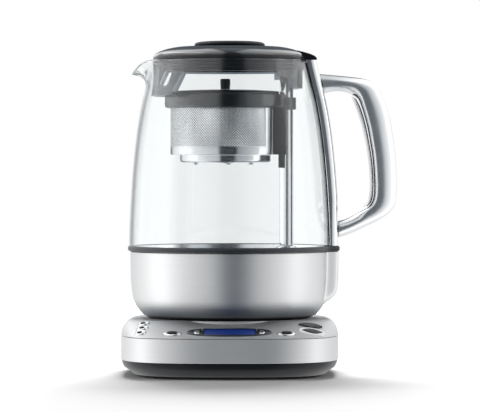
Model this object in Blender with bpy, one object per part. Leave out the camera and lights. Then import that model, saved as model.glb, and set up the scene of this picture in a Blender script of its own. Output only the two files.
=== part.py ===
"""Automatic tea maker: a glass jug whose steel basket climbs a post, standing on its power base.

Lengths are metres, +Z is up and the control panel faces -Y. Everything is laid out round the jug's
axis, and one empty shifts the whole so that the origin lies under the middle of the object.
"""
import math

import bmesh
import bpy
from mathutils import Matrix, Vector

MM = 0.001

# Clearances, mesh steps and angles that all pieces share
GAP = 0.3 * MM
RUN_GAP = 0.4 * MM
OVERRUN = 3.0 * MM
MERGE_DISTANCE = 0.001 * MM
TURN_STEPS = 32
SMALL_STEPS = 12
HOLE_STEPS = 18
POST_STEPS = 6
SHARP_ANGLE = math.radians(32)

# Power base, outside
BASE_HALF_WIDTH = 86.0 * MM
BASE_HALF_DEPTH = 95.0 * MM
PLAN_SQUARENESS = 3.4
PLAN_STEPS = 36
FOOT_STAND = 2.0 * MM
TRAY_FLOOR = 4.0 * MM
TRAY_WALL = 2.0 * MM
TRAY_HEIGHT = 10.7 * MM
TRAY_FOOT_INSET = 10.0 * MM
TRAY_TUCK_INSET = 4.0 * MM
TRAY_TUCK_SHARE = 0.3
TRAY_LIP_INSET = 0.8 * MM
TRAY_FLOOR_INSET = 10.5 * MM
BAND_HEIGHT = 18.7 * MM
BAND_WALL = 1.5 * MM
SKIRT_INSET = 2.3 * MM
SKIRT_DROP = 4.5 * MM
DECK_RISE = 12.0 * MM
DECK_WALL = 2.5 * MM
DECK_SIDE_INSET = 10.0 * MM
DECK_FRONT_INSET = 35.0 * MM
DECK_BACK_INSET = 12.0 * MM
DECK_BENDS = 3
SEAT_RADIUS = 66.5 * MM
SEAT_RISE = 0.3 * MM
SEAT_THICKNESS = 3.3 * MM

# Foot ring, screws, main board and cord gland of the base
FOOT_OUTER_SHARE = 0.721
FOOT_OUTER = FOOT_OUTER_SHARE * BASE_HALF_WIDTH
FOOT_WIDTH = 7.0 * MM
FOOT_RECESS = 1.5 * MM
BASE_SCREW_PLACE_SHARES = (0.72, 0.32)
BOSS_RADIUS = 4.0 * MM
SCREW_HEAD_RADIUS = 3.0 * MM
SCREW_HEAD_HEIGHT = 1.6 * MM
SCREW_SHANK_RADIUS = 1.4 * MM
SCREW_GRIP = 12.0 * MM
SCREW_SEAT = 2.5 * MM
MAIN_BOARD_HALF_WIDTH = 42.0 * MM
MAIN_BOARD_HALF_DEPTH = 20.0 * MM
MAIN_BOARD_BACK = 47.0 * MM
MAIN_BOARD_Y = BASE_HALF_DEPTH - MAIN_BOARD_BACK
BOARD_THICKNESS = 1.6 * MM
STANDOFF_HEIGHT = 6.0 * MM
STANDOFF_RADIUS = 3.0 * MM
STANDOFF_PLACE_SHARE = 0.85
RELAY_WIDTH = 22.0 * MM
RELAY_DEPTH = 16.0 * MM
RELAY_HEIGHT = 14.0 * MM
RELAY_OFFSET = 20.0 * MM
GLAND_RADIUS = 6.0 * MM
GLAND_FLANGE_RADIUS = 8.0 * MM
GLAND_FLANGE = 2.0 * MM
GLAND_BORE = 3.6 * MM
GLAND_LENGTH = 12.0 * MM
GLAND_SINK = 0.5 * MM
GLAND_RISE_SHARE = 0.5

# Power connector between base and jug
HUB_RADIUS = 16.0 * MM
HUB_FLANGE_RADIUS = 21.0 * MM
HUB_FLANGE = 3.5 * MM
HUB_RISE = 8.7 * MM
HUB_CHAMFER = 1.0 * MM
HUB_GROOVE_DEPTH = 7.0 * MM
HUB_PIN_HOLE = 3.0 * MM
HUB_RING_INNER = 9.0 * MM
HUB_RING_OUTER = 12.0 * MM
CONTACT_HEIGHT = 1.8 * MM
SOCKET_CLEARANCE = 1.2 * MM
SOCKET_ROOF_CLEARANCE = 4.0 * MM
SOCKET_WALL = 6.8 * MM
SOCKET_ROOF = 5.0 * MM
SOCKET_FLANGE_RADIUS = 28.0 * MM
SOCKET_FLANGE = 1.8 * MM
BLADE_HALF = 0.5 * MM
GUIDE_PIN_RADIUS = 1.8 * MM
GUIDE_PIN_LENGTH = 8.0 * MM

# Controls on the front slope
BUTTON_TRAVEL = 1.0 * MM
BUTTON_PROUD = 0.9 * MM
BUTTON_CROWN = 0.6 * MM
CONTROL_STEPS = 16
CONTROL_LEAN = math.radians(18)
SLOPE_PROBE_SHARE = 0.01
SMALL_BUTTON_HALF_LENGTH = 3.6 * MM
SMALL_BUTTON_HALF_HEIGHT = 2.2 * MM
SURROUND = 0.9 * MM
SURROUND_PROUD = 0.6 * MM
CARRIER_DEPTH = 4.4 * MM
CARRIER_THICKNESS = 1.0 * MM
CARRIER_OUTSIDE = 2.4 * MM
CARRIER_INSIDE = 6.5 * MM
OVAL_BUTTON_HALF_LENGTH = 7.0 * MM
OVAL_BUTTON_HALF_HEIGHT = 4.0 * MM
LENS_BUTTON_HALF_HEIGHT = 4.6 * MM
START_BUTTON_HALF_HEIGHT = 4.2 * MM
LIGHT_RING_HALF_HEIGHT = 6.0 * MM
CLOCK_X_SHARES = (-0.781, -0.788, -0.805)
CLOCK_RISE_SHARES = (0.80, 0.545, 0.27)
OVAL_X_SHARE = 0.513
OVAL_RISE_SHARE = 0.29
HOT_WATER_SHARES = (0.733, 0.725)
START_SHARES = (0.745, 0.385)
DISPLAY_RISE_SHARE = 0.379
BEZEL_HALF_HEIGHT = 8.7 * MM
BEZEL_SQUARENESS = 2.3
BEZEL_PROUD = 0.5 * MM
BEZEL_DEPTH = 2.6 * MM
BEZEL_STEPS = 28
WINDOW_HALF_HEIGHT = 6.3 * MM
WINDOW_THICKNESS = 1.5 * MM
WINDOW_SINK = 0.3 * MM
END_BUTTON_PLACE_SHARE = 0.77
END_BUTTON_HALF_LENGTH = 2.6 * MM
END_BUTTON_HALF_HEIGHT = 4.0 * MM
BOARD_DEPTH = 7.5 * MM
SWITCH_HEIGHT = 2.2 * MM
SWITCH_HALF = 1.6 * MM
DISPLAY_BOARD_BELOW = 5.5 * MM
DISPLAY_BOARD_ABOVE = 9.0 * MM
DISPLAY_POST_SHARE = 0.75
SIDE_BOARD_RISE_SHARE = 0.55
CLOCK_BOARD_LEAN = math.radians(39)
CLOCK_BOARD_OUTSIDE = 3.2 * MM
CLOCK_BOARD_INSIDE = 11.5 * MM
CLOCK_BOARD_BELOW = 9.7 * MM
CLOCK_BOARD_ABOVE = 11.0 * MM
START_BOARD_LEAN = math.radians(-33)
START_BOARD_OUTSIDE = 4.0 * MM
START_BOARD_BELOW = 8.5 * MM
START_BOARD_ABOVE = 9.0 * MM
BOARD_POST_RADIUS = 1.5 * MM
BOARD_POST_EDGE = 2.2 * MM
BOARD_POST_SPREAD_SHARE = 0.6
SLOPE_SEARCH_STEPS = 20

# What lies between the oval buttons and beside them takes the room that the panel's width leaves
OVAL_PLACE = OVAL_X_SHARE * BASE_HALF_WIDTH
START_PLACE = START_SHARES[0] * BASE_HALF_WIDTH
BEZEL_END_GAP = 4.5 * MM
BEZEL_HALF_LENGTH = OVAL_PLACE - OVAL_BUTTON_HALF_LENGTH - BEZEL_END_GAP
WINDOW_END_ROOM = 12.6 * MM
WINDOW_HALF_LENGTH = BEZEL_HALF_LENGTH - WINDOW_END_ROOM
LIGHT_RING_GAP = 2.3 * MM
LIGHT_RING_HALF_LENGTH = START_PLACE - OVAL_PLACE - OVAL_BUTTON_HALF_LENGTH - LIGHT_RING_GAP
LIGHT_RING_END = 2.3 * MM
START_BUTTON_HALF_LENGTH = LIGHT_RING_HALF_LENGTH - LIGHT_RING_END
LENS_BUTTON_INSET = 1.0 * MM
LENS_BUTTON_HALF_LENGTH = LIGHT_RING_HALF_LENGTH - LENS_BUTTON_INSET
BOARD_EDGE = 0.6 * MM
DISPLAY_BOARD_HALF_LENGTH = OVAL_PLACE + SWITCH_HALF + BOARD_EDGE
BOARD_SIDE_GAP = 0.3 * MM
START_BOARD_ROOM = START_PLACE - DISPLAY_BOARD_HALF_LENGTH - BOARD_SIDE_GAP
START_BOARD_INSIDE = ((START_BOARD_ROOM - START_BOARD_BELOW * math.sin(-START_BOARD_LEAN))
                      / math.cos(START_BOARD_LEAN))

# Jug: glass, a little proud of the bowl's rim
BOWL_TOP_RADIUS = 79.0 * MM
GLASS_PROUD = 1.0 * MM
GLASS_HEIGHT = 149.9 * MM
GLASS_RADIUS = BOWL_TOP_RADIUS + GLASS_PROUD
GLASS_WALL = 2.4 * MM
GLASS_RADIUS_SHARES = (
    (0.0, 0.991), (0.032, 1.0), (0.22, 0.988), (0.376, 0.970), (0.50, 0.949), (0.63, 0.920), (0.757, 0.880),
    (0.867, 0.831), (0.943, 0.7965), (1.0, 0.7725))
GLASS_RIM_RADIUS = GLASS_RADIUS * GLASS_RADIUS_SHARES[-1][1]
SPOUT_REACH = 16.2 * MM
SPOUT_DROP = 11.0 * MM
SPOUT_SPREAD = math.radians(13)
SPOUT_DROP_POWER = 2.5
SPOUT_LEVEL_SHARES = ((1.0, 1.0, 1.0), (0.98, 0.79, 0.80), (0.953, 0.42, 0.57), (0.916, 0.155, 0.43))
SPOUT_SECTOR = math.radians(30)
SPOUT_STEPS = 8
SIDE_STEPS = 10

# Jug: seal, bowl, plate and what the bowl holds
SEAL_HEIGHT = 4.0 * MM
SEAL_FLOOR = 0.8 * MM
SEAL_PROUD = 1.9 * MM
SEAL_LIP = 1.5 * MM
SEAL_LIP_HEIGHT = 2.5 * MM
BOWL_HEIGHT = 50.2 * MM
BOWL_WALL = 1.2 * MM
BOWL_RADIUS_SHARES = (
    (0.0, 0.870), (0.074, 0.911), (0.161, 0.947), (0.273, 0.972), (0.41, 0.986), (0.631, 0.996), (1.0, 1.0))
BOWL_LEVEL_SHARES = (0.0, 0.074, 0.161, 0.21, 0.28, 0.37, 0.44, 0.70, 1.0)
BOWL_INNER_LEVEL_SHARES = (0.44, 0.28, 0.161, 0.074, 0.0)
LEDGE_THICKNESS = 1.2 * MM
LEDGE_WIDTH = 2.3 * MM
RIB_HALF_WIDTH = 15.0 * MM
RIB_PROUD = 7.2 * MM
RIB_FLANK = math.radians(4)
RIB_PROUD_SHARES = ((0.0, 0.0), (0.16, 0.0), (0.21, 0.19), (0.28, 0.63), (0.37, 0.95), (0.44, 1.0), (1.0, 1.0))
RIB_STEPS = 4
COVER_CLEARANCE = 0.5 * MM
COVER_RADIUS = BOWL_TOP_RADIUS * BOWL_RADIUS_SHARES[0][1] - BOWL_WALL - COVER_CLEARANCE
COVER_TUCK = 4.0 * MM
COVER_BOTTOM_RADIUS = COVER_RADIUS - COVER_TUCK
COVER_THICKNESS = 2.7 * MM
COVER_CHAMFER = 1.6 * MM
FRAME_LIFT = 2.4 * MM
FRAME_THICKNESS = 3.0 * MM
PLATE_THICKNESS = 1.4 * MM
ELEMENT_INSET = 13.8 * MM
ELEMENT_RADIUS = BOWL_TOP_RADIUS - BOWL_WALL - ELEMENT_INSET
ELEMENT_TUBE = 3.6 * MM
ELEMENT_OPEN = math.radians(24)
ELEMENT_TAIL = 9.0 * MM
ELEMENT_STEPS = 22
SENSOR_RADIUS = 5.0 * MM
SENSOR_HEIGHT = 9.0 * MM
SENSOR_PLACE_SHARES = (-0.32, 0.24)

# Jug: spine and handle
SPINE_DEPTH = 7.1 * MM
SPINE_FACE_LIMIT = 0.4 * MM
SPINE_CORNER = 2.6 * MM
SPINE_WALL = 2.0 * MM
SPINE_GLASS_GAP = 0.4 * MM
HANDLE_REACH = 132.9 * MM
HANDLE_DROP_SHARE = 0.064
HANDLE_TOP_DROP = 10.8 * MM
HANDLE_WIDTH = 24.0 * MM
HANDLE_SQUARENESS = 3.2
HANDLE_STEPS = 16
LINER_WIDTH_SHARE = 0.72
HANDLE_STATION_SHARES = (
    (0.0, 1.000, 0.0, 0.882), (0.179, 0.992, 0.150, 0.894), (0.358, 0.984, 0.276, 0.891),
    (0.537, 0.973, 0.367, 0.875), (0.654, 0.955, 0.428, 0.858), (0.737, 0.927, 0.461, 0.839),
    (0.794, 0.881, 0.488, 0.798), (0.853, 0.812, 0.521, 0.738), (0.902, 0.733, 0.551, 0.669),
    (0.940, 0.630, 0.578, 0.586), (0.984, 0.493, 0.607, 0.483), (1.0, 0.346, 0.620, 0.354),
    (0.994, 0.252, 0.614, 0.271), (0.968, 0.196, 0.580, 0.218), (0.892, 0.158, 0.522, 0.189),
    (0.800, 0.129, 0.459, 0.172), (0.643, 0.096, 0.365, 0.155), (0.450, 0.063, 0.248, 0.131),
    (0.257, 0.030, 0.136, 0.112), (0.062, 0.004, 0.040, 0.102), (0.0, 0.000, 0.0, 0.101))
LINER_STATION_SHARES = (
    (0.437, 0.842, 0.363, 0.865), (0.483, 0.790, 0.399, 0.801), (0.532, 0.700, 0.459, 0.698),
    (0.575, 0.578, 0.508, 0.578), (0.606, 0.473, 0.537, 0.473), (0.618, 0.360, 0.551, 0.346),
    (0.610, 0.271, 0.536, 0.271), (0.573, 0.214, 0.490, 0.214), (0.505, 0.190, 0.437, 0.187))
HANDLE_SCREW_RISE_SHARES = (0.05, 0.94)
HANDLE_SCREW_HEAD = 1.4 * MM
HANDLE_SCREW_GRIP = 8.0 * MM
HANDLE_SCREW_SEAT = 1.0 * MM

# Jug lid: what closes the glass's mouth
LID_OVERLAP = 0.1 * MM
LID_RADIUS = GLASS_RIM_RADIUS + LID_OVERLAP
SKIRT_CLEARANCE = 1.4 * MM
SKIRT_WALL = 2.2 * MM
SKIRT_RADIUS = GLASS_RIM_RADIUS - GLASS_WALL - SKIRT_CLEARANCE
SKIRT_INNER = SKIRT_RADIUS - SKIRT_WALL

# Post with the lift drive, standing just inside the lid's skirt
POST_RADIUS = 5.4 * MM
POST_SKIRT_GAP = 5.2 * MM
POST_X = SKIRT_INNER - POST_SKIRT_GAP - POST_RADIUS
POST_WALL = 1.0 * MM
POST_CAP = 1.5 * MM
POST_TAIL = 3.7 * MM
POST_RIM_DROP = 10.5 * MM
POST_FOOT_RADIUS = 9.5 * MM
POST_FOOT_HEIGHT = 4.0 * MM
SCREW_RADIUS = 1.9 * MM
SCREW_COLLAR_RADIUS = 3.2 * MM
SCREW_COLLAR_HEIGHT = 4.0 * MM
BEARING_HEIGHT = 3.0 * MM
SHUTTLE_HEIGHT = 24.0 * MM
SHUTTLE_CHAMFER = 0.4 * MM
MOTOR_ROOM_SHARE = 0.566
MOTOR_RADIUS = MOTOR_ROOM_SHARE * (POST_X - HUB_RADIUS - SOCKET_CLEARANCE - SOCKET_WALL)
MOTOR_HEIGHT = 24.0 * MM
GEARBOX_STEP = 2.0 * MM
GEARBOX_RADIUS = MOTOR_RADIUS - GEARBOX_STEP
GEARBOX_HEIGHT = 7.0 * MM

# Basket, drawn at the top of its travel, between the lid's skirt and the post
BASKET_X = -3.5 * MM
RING_CLEARANCE = 4.2 * MM
RING_RADIUS = SKIRT_INNER + BASKET_X - RING_CLEARANCE
RING_PROUD = 4.4 * MM
BASKET_RADIUS = RING_RADIUS - RING_PROUD
FLAT_POST_GAP = 11.4 * MM
BASKET_FLAT = POST_X - BASKET_X - FLAT_POST_GAP
BASKET_WALL = 1.0 * MM
BASKET_STEPS = 30
BASKET_BOTTOM_DROP = 74.9 * MM
BASKET_HEIGHT = 47.6 * MM
BASKET_LIP = 9.5 * MM
BASKET_LIP_THICKNESS = 1.2 * MM
FLOOR_INSET = 7.6 * MM
FLOOR_RADIUS = BASKET_RADIUS - FLOOR_INSET
FLOOR_HEIGHT = 5.7 * MM
FLOOR_WALL = 1.2 * MM
FLOOR_DISC_RADIUS = 6.4 * MM
FLOOR_DISC = 0.7 * MM
LUG_RADIUS = 2.2 * MM
LUG_HEIGHT = 1.8 * MM
LUG_RING_SHARE = 0.72
LUG_ANGLES = (math.radians(205), math.radians(320), math.radians(85))
RING_HEIGHT = 11.0 * MM
RING_CHAMFER = 1.5 * MM
COLLAR_RADIUS = 7.6 * MM
COLLAR_HEIGHT = 9.6 * MM
COLLAR_DROP = 2.4 * MM
ARM_HALF_WIDTH = 9.0 * MM
ARM_SHORT = 0.2 * MM
ARM_REACH = POST_X - ARM_SHORT
ARM_LENGTH = 14.0 * MM
ARM_START = ARM_REACH - ARM_LENGTH
ARM_HEIGHT = 37.0 * MM
TAIL_HALF_WIDTH = 7.4 * MM
TAIL_THICKNESS = 4.4 * MM
TAIL_SHORT = 2.1 * MM
TAIL_REACH = POST_X - TAIL_SHORT
TAIL_START = TAIL_REACH - TAIL_THICKNESS
TAIL_HEIGHT = 10.4 * MM
MAGNET_THICKNESS = 2.8 * MM
MAGNET_HALF_WIDTH = 5.0 * MM
MAGNET_HALF_HEIGHT = 10.0 * MM
BASKET_LID_INSET = 0.7 * MM
BASKET_LID_RADIUS = RING_RADIUS - BASKET_LID_INSET
BASKET_LID_RISE = 3.6 * MM
BASKET_LID_EDGE = 1.0 * MM
LID_POST_CLEARANCE = 1.0 * MM
LID_FLAT_X = POST_X - POST_RADIUS - LID_POST_CLEARANCE
KNOB_RADIUS = 4.0 * MM
KNOB_STEM_RADIUS = 2.4 * MM
KNOB_HEIGHT = 8.2 * MM

# Jug lid: rim, dome, grip and skirt
LID_RIM_HEIGHT = 2.7 * MM
LID_DOME = 8.4 * MM
LID_DOME_OUTER_SHARES = ((0.0, 1.0), (0.45, 1.0), (0.674, 0.90), (0.80, 0.735), (0.89, 0.53), (0.95, 0.33),
                         (0.983, 0.12), (0.985, 0.0))
LID_DOME_INNER_SHARES = ((0.948, 0.0), (0.93, 0.13), (0.87, 0.30), (0.78, 0.48), (0.66, 0.63), (0.45, 0.72),
                         (0.0, 0.72))
GRIP_RADIUS = 28.0 * MM
GRIP_HEIGHT = 3.5 * MM
GRIP_PROFILE_SHARES = ((0.0, 1.0), (0.7, 0.95), (0.91, 0.72), (1.0, 0.25), (1.0, 0.0), (0.0, 0.0))
SKIRT_BAND = 9.5 * MM
SKIRT_SPOUT_TAB = 28.5 * MM
SKIRT_STEP = 14.5 * MM
SKIRT_HANDLE_TAB = 22.5 * MM
ARCH_TOP_SHARE = 0.616
ARCH_BOTTOM_SHARE = 0.74
STEP_SHARE = 0.626
HANDLE_TAB_SHARE = 0.81
GASKET_CLEARANCE = 0.3 * MM
GASKET_ROOT = 0.25 * MM
GASKET_RIB = 0.55 * MM
GASKET_RIBS = 3
GASKET_HEIGHT = 7.6 * MM
LID_TAIL_HALF_WIDTH = 13.0 * MM
LID_TAIL_START_SHARE = 0.87
LID_TAIL_SHARES = ((0.0, 0.0), (0.0, 0.80), (0.45, 0.58), (0.72, 0.40), (0.93, 0.16), (1.0, 0.0))

# Heights, worked out upwards from the table
TRAY_FLOOR_TOP = FOOT_STAND + TRAY_FLOOR
BAND_BOTTOM = FOOT_STAND + TRAY_HEIGHT + GAP
BAND_TOP = BAND_BOTTOM + BAND_HEIGHT
DECK_EDGE = BAND_TOP + GAP
DECK_TOP = DECK_EDGE + DECK_RISE
SEAT_TOP = DECK_TOP + SEAT_RISE
JUG_BOTTOM = SEAT_TOP + GAP
COVER_TOP = JUG_BOTTOM + COVER_THICKNESS
BOWL_BOTTOM = COVER_TOP - GAP
BOWL_TOP = BOWL_BOTTOM + BOWL_HEIGHT
SEAL_BOTTOM = BOWL_TOP + GAP
SEAL_TOP = SEAL_BOTTOM + SEAL_HEIGHT
GLASS_FOOT = SEAL_BOTTOM + SEAL_FLOOR + GAP
GLASS_RIM = GLASS_FOOT + GLASS_HEIGHT
LID_BOTTOM = GLASS_RIM + GAP
DOME_BOTTOM = LID_BOTTOM + LID_RIM_HEIGHT + GAP
DOME_TOP = DOME_BOTTOM + LID_DOME
BASKET_BOTTOM = GLASS_RIM - BASKET_BOTTOM_DROP
BASKET_TOP = BASKET_BOTTOM + BASKET_HEIGHT
RING_TOP = BASKET_TOP + GAP
RING_BOTTOM = RING_TOP - RING_HEIGHT
ARM_BOTTOM = RING_BOTTOM - ARM_HEIGHT + GAP
POST_TOP = GLASS_RIM - POST_RIM_DROP
FRAME_BOTTOM = COVER_TOP + FRAME_LIFT
FRAME_TOP = FRAME_BOTTOM + FRAME_THICKNESS
HUB_TOP = SEAT_TOP + HUB_RISE
PLATE_TOP = BOWL_TOP
PLATE_BOTTOM = PLATE_TOP - PLATE_THICKNESS

# The origin lies halfway between the base's left side and the handle
AXIS_X = (BASE_HALF_WIDTH - HANDLE_REACH) / 2

FINISHES = {
    "brushed_steel": ((0.60, 0.61, 0.62), 0.32, 1.0),
    "polished_steel": ((0.72, 0.73, 0.75), 0.12, 1.0),
    "silver_plastic": ((0.52, 0.53, 0.55), 0.34, 0.6),
    "chrome": ((0.80, 0.81, 0.83), 0.06, 1.0),
    "black_plastic": ((0.015, 0.016, 0.018), 0.35, 0.0),
    "gloss_black": ((0.02, 0.022, 0.026), 0.08, 0.0),
    "dark_grey_plastic": ((0.075, 0.09, 0.105), 0.30, 0.0),
    "smoke_plastic": ((0.16, 0.18, 0.20), 0.15, 0.0),
    "black_rubber": ((0.02, 0.02, 0.022), 0.75, 0.0),
    "clear_glass": ((0.93, 0.95, 0.95), 0.03, 0.0),
    "blue_display": ((0.04, 0.10, 0.42), 0.12, 0.0),
    "white_light": ((0.90, 0.93, 0.95), 0.30, 0.0),
    "green_board": ((0.03, 0.16, 0.07), 0.45, 0.0),
    "brass": ((0.72, 0.56, 0.26), 0.30, 1.0),
    "dark_metal": ((0.20, 0.20, 0.21), 0.45, 1.0),
}


# Scene, bodies and nodes


def clear_scene():
    """Removes every object that the file opens with."""
    for found in list(bpy.data.objects):
        bpy.data.objects.remove(found, do_unlink=True)


def add_body(name, pivot, parent=None):
    """Adds the empty that stands at a moving body's joint."""
    empty = bpy.data.objects.new(name, None)
    bpy.context.scene.collection.objects.link(empty)
    empty.parent = parent
    empty.location = Vector(pivot)
    return empty


def attach(obj, body):
    """Hangs an object on a body while its mesh keeps the jug's coordinates."""
    obj.parent = body
    obj.location = -body.location if body.parent else Vector((0.0, 0.0, 0.0))


def make_material(name, finish):
    """Makes a sub-part's own material from a named finish."""
    colour, roughness, metallic = FINISHES[finish]
    material = bpy.data.materials.new(name + "_finish")
    material.use_nodes = True
    shader = material.node_tree.nodes["Principled BSDF"]
    shader.inputs["Base Color"].default_value = (*colour, 1.0)
    shader.inputs["Roughness"].default_value = roughness
    shader.inputs["Metallic"].default_value = metallic
    if finish == "clear_glass":
        shader.inputs["Transmission Weight"].default_value = 1.0
    material.diffuse_color = (*colour, 1.0)
    return material


def add_object(name, bm, body):
    """Turns a bmesh into an object on its body."""
    bmesh.ops.recalc_face_normals(bm, faces=bm.faces)
    mesh = bpy.data.meshes.new(name)
    bm.to_mesh(mesh)
    bm.free()
    obj = bpy.data.objects.new(name, mesh)
    bpy.context.scene.collection.objects.link(obj)
    attach(obj, body)
    return obj


def add_node(name, bm, body, finish):
    """Adds one named sub-part with its own material."""
    obj = add_object(name, bm, body)
    obj.data.materials.append(make_material(name, finish))
    obj.data.shade_smooth()
    obj.data.set_sharp_from_angle(angle=SHARP_ANGLE)
    return obj


def combine(target, bm, operation):
    """Adds or cuts the shape in a bmesh with a Boolean modifier."""
    tool = add_object(target.name + "_" + operation.lower(), bm, target.parent)
    tool.hide_render = True
    tool.display_type = "WIRE"
    modifier = target.modifiers.new(operation.title(), "BOOLEAN")
    modifier.operation = operation
    modifier.solver = "EXACT"
    modifier.object = tool


# Shapes


def at(x, y, z=0.0):
    """A frame at a point, unturned."""
    return Matrix.Translation((x, y, z))


def along_x(x, y, z):
    """A frame whose own Z runs along +X."""
    return at(x, y, z) @ Matrix.Rotation(math.pi / 2, 4, "Y")


def along_y(x, y, z):
    """A frame whose own Z runs along +Y."""
    return at(x, y, z) @ Matrix.Rotation(-math.pi / 2, 4, "X")


def add_turned(bm, profile, frame=None, steps=TURN_STEPS):
    """Spins a closed profile of (radius, height) points round the frame's Z axis."""
    before = set(bm.verts)
    verts = [bm.verts.new((radius, 0.0, height)) for radius, height in profile]
    pairs = zip(verts, verts[1:] + verts[:1])
    edges = [bm.edges.new(pair) for pair in pairs if pair[0].co.x > 0.0 or pair[1].co.x > 0.0]
    bmesh.ops.spin(bm, geom=verts + edges, cent=(0.0, 0.0, 0.0), axis=(0.0, 0.0, 1.0),
                   angle=2 * math.pi, steps=steps, use_merge=True)
    made = [vert for vert in bm.verts if vert not in before]
    bmesh.ops.remove_doubles(bm, verts=made, dist=MERGE_DISTANCE)
    made = [vert for vert in bm.verts if vert not in before]
    if frame:
        bmesh.ops.transform(bm, matrix=frame, verts=made)


def add_rod(bm, radius, low, high, frame=None, steps=SMALL_STEPS):
    """A solid round rod between two heights of its frame."""
    add_turned(bm, ((0.0, low), (radius, low), (radius, high), (0.0, high)), frame, steps)


def add_pipe(bm, inner, outer, low, high, frame=None, steps=TURN_STEPS):
    """A round ring or pipe between two heights of its frame."""
    add_turned(bm, ((inner, low), (outer, low), (outer, high), (inner, high)), frame, steps)


def add_block(bm, low, high, frame=None):
    """A box between two corners of its frame."""
    low = Vector(low)
    high = Vector(high)
    size = high - low
    matrix = at(*((low + high) / 2)) @ Matrix.Diagonal((size.x, size.y, size.z, 1.0))
    if frame:
        matrix = frame @ matrix
    bmesh.ops.create_cube(bm, size=1.0, matrix=matrix)


def add_loft(bm, sections, closed=False):
    """Extrudes a first outline from section to section; closed bridges the last to the first."""
    face = bm.faces.new([bm.verts.new(point) for point in sections[0]])
    first = face
    for section in sections[1:]:
        order = {tuple(vert.co): index for index, vert in enumerate(face.verts)}
        grown = bmesh.ops.extrude_face_region(bm, geom=[face])["geom"]
        if face.is_valid and face is not first:
            bm.faces.remove(face)
        face = next(item for item in grown if isinstance(item, bmesh.types.BMFace))
        moves = [(vert, order[tuple(vert.co)]) for vert in face.verts]
        for vert, index in moves:
            vert.co = section[index]
    if closed:
        loops = list(first.edges) + list(face.edges)
        bm.faces.remove(first)
        bm.faces.remove(face)
        bmesh.ops.bridge_loops(bm, edges=loops)


def add_prism(bm, outline, frame, low, high):
    """Extrudes a flat outline along its frame's Z axis."""
    add_loft(bm, [[frame @ Vector((x, y, z)) for x, y in outline] for z in (low, high)])


def table_value(table, share):
    """Reads a table of (place, value) shares, straight between its points."""
    for (low, low_value), (high, high_value) in zip(table, table[1:]):
        if share <= high:
            part = max(0.0, (share - low) / (high - low))
            return low_value + (high_value - low_value) * part
    return table[-1][1]


def oval(half_length, half_height, squareness=2.0, steps=CONTROL_STEPS):
    """An ellipse, or with more squareness a fuller oval."""
    points = []
    for step in range(steps):
        angle = 2 * math.pi * step / steps
        across = math.copysign(abs(math.cos(angle)) ** (2 / squareness), math.cos(angle))
        upward = math.copysign(abs(math.sin(angle)) ** (2 / squareness), math.sin(angle))
        points.append((half_length * across, half_height * upward))
    return points


def lens(half_length, half_height, steps=CONTROL_STEPS):
    """An outline of two arcs that meet in points."""
    points = []
    for step in range(steps):
        angle = 2 * math.pi * step / steps
        points.append((half_length * math.cos(angle), half_height * math.sin(angle) * abs(math.sin(angle))))
    return points


def turn_offset(angle, middle):
    """How far an angle lies from a middle, between minus and plus half a turn."""
    return (angle - middle + math.pi) % (2 * math.pi) - math.pi


# Plan and deck of the base


def plan_loop(half_width, front, back, z):
    """The base's rounded square outline at one height."""
    points = []
    for step in range(PLAN_STEPS):
        angle = 2 * math.pi * step / PLAN_STEPS
        across = math.copysign(abs(math.cos(angle)) ** (2 / PLAN_SQUARENESS), math.cos(angle))
        along = math.copysign(abs(math.sin(angle)) ** (2 / PLAN_SQUARENESS), math.sin(angle))
        points.append((half_width * across, (back if along > 0.0 else front) * along, z))
    return points


def base_loop(inset, z):
    """The base's outline drawn in by an inset."""
    return plan_loop(BASE_HALF_WIDTH - inset, BASE_HALF_DEPTH - inset, BASE_HALF_DEPTH - inset, z)


def deck_level(share):
    """Half width, front, back and height of the deck at a share of its rise."""
    bend = math.sqrt(max(0.0, 1.0 - share * share))
    half_width = BASE_HALF_WIDTH - DECK_SIDE_INSET * (1.0 - bend)
    front = BASE_HALF_DEPTH - DECK_FRONT_INSET * share
    back = BASE_HALF_DEPTH - DECK_BACK_INSET * (1.0 - bend)
    return half_width, front, back, DECK_EDGE + DECK_RISE * share


def deck_point(x, share):
    """A point on the deck's front slope."""
    half_width, front, _, z = deck_level(share)
    fullness = 1.0 - min(1.0, abs(x / half_width)) ** PLAN_SQUARENESS
    return Vector((x, -front * fullness ** (1 / PLAN_SQUARENESS), z))


def panel_frame(x_share, rise_share, lean=0.0):
    """A frame on the front slope: X along the panel, Y up it and Z out of it."""
    x = x_share * BASE_HALF_WIDTH
    probe = SLOPE_PROBE_SHARE * BASE_HALF_WIDTH
    along = deck_point(x + probe, rise_share) - deck_point(x - probe, rise_share)
    upward = deck_point(x, rise_share + SLOPE_PROBE_SHARE) - deck_point(x, rise_share - SLOPE_PROBE_SHARE)
    normal = along.cross(upward).normalized()
    along = Matrix.Rotation(lean, 3, normal) @ along.normalized()
    upward = normal.cross(along)
    axes = Matrix((along, upward, normal)).transposed().to_4x4()
    return at(*deck_point(x, rise_share)) @ axes


def slope_in_frame(frame, x, y):
    """How high the slope's surface lies over a place in a frame that stands on it."""
    place = frame @ Vector((x, y, 0.0))
    low, high = 0.0, 1.0
    for _ in range(SLOPE_SEARCH_STEPS):
        share = (low + high) / 2
        if deck_point(place.x, share).y < place.y:
            low = share
        else:
            high = share
    return (deck_point(place.x, low).z - place.z) * frame[2][2]


DISPLAY_FRAME = panel_frame(0.0, DISPLAY_RISE_SHARE)
CLOCK_BOARD_FRAME = panel_frame(CLOCK_X_SHARES[1], SIDE_BOARD_RISE_SHARE, CLOCK_BOARD_LEAN)
START_BOARD_FRAME = panel_frame(START_SHARES[0], SIDE_BOARD_RISE_SHARE, START_BOARD_LEAN)


def end_button_frame(side):
    """The frame of the button at one end of the display bezel."""
    return DISPLAY_FRAME @ at(side * END_BUTTON_PLACE_SHARE * BEZEL_HALF_LENGTH, 0.0)


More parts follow.
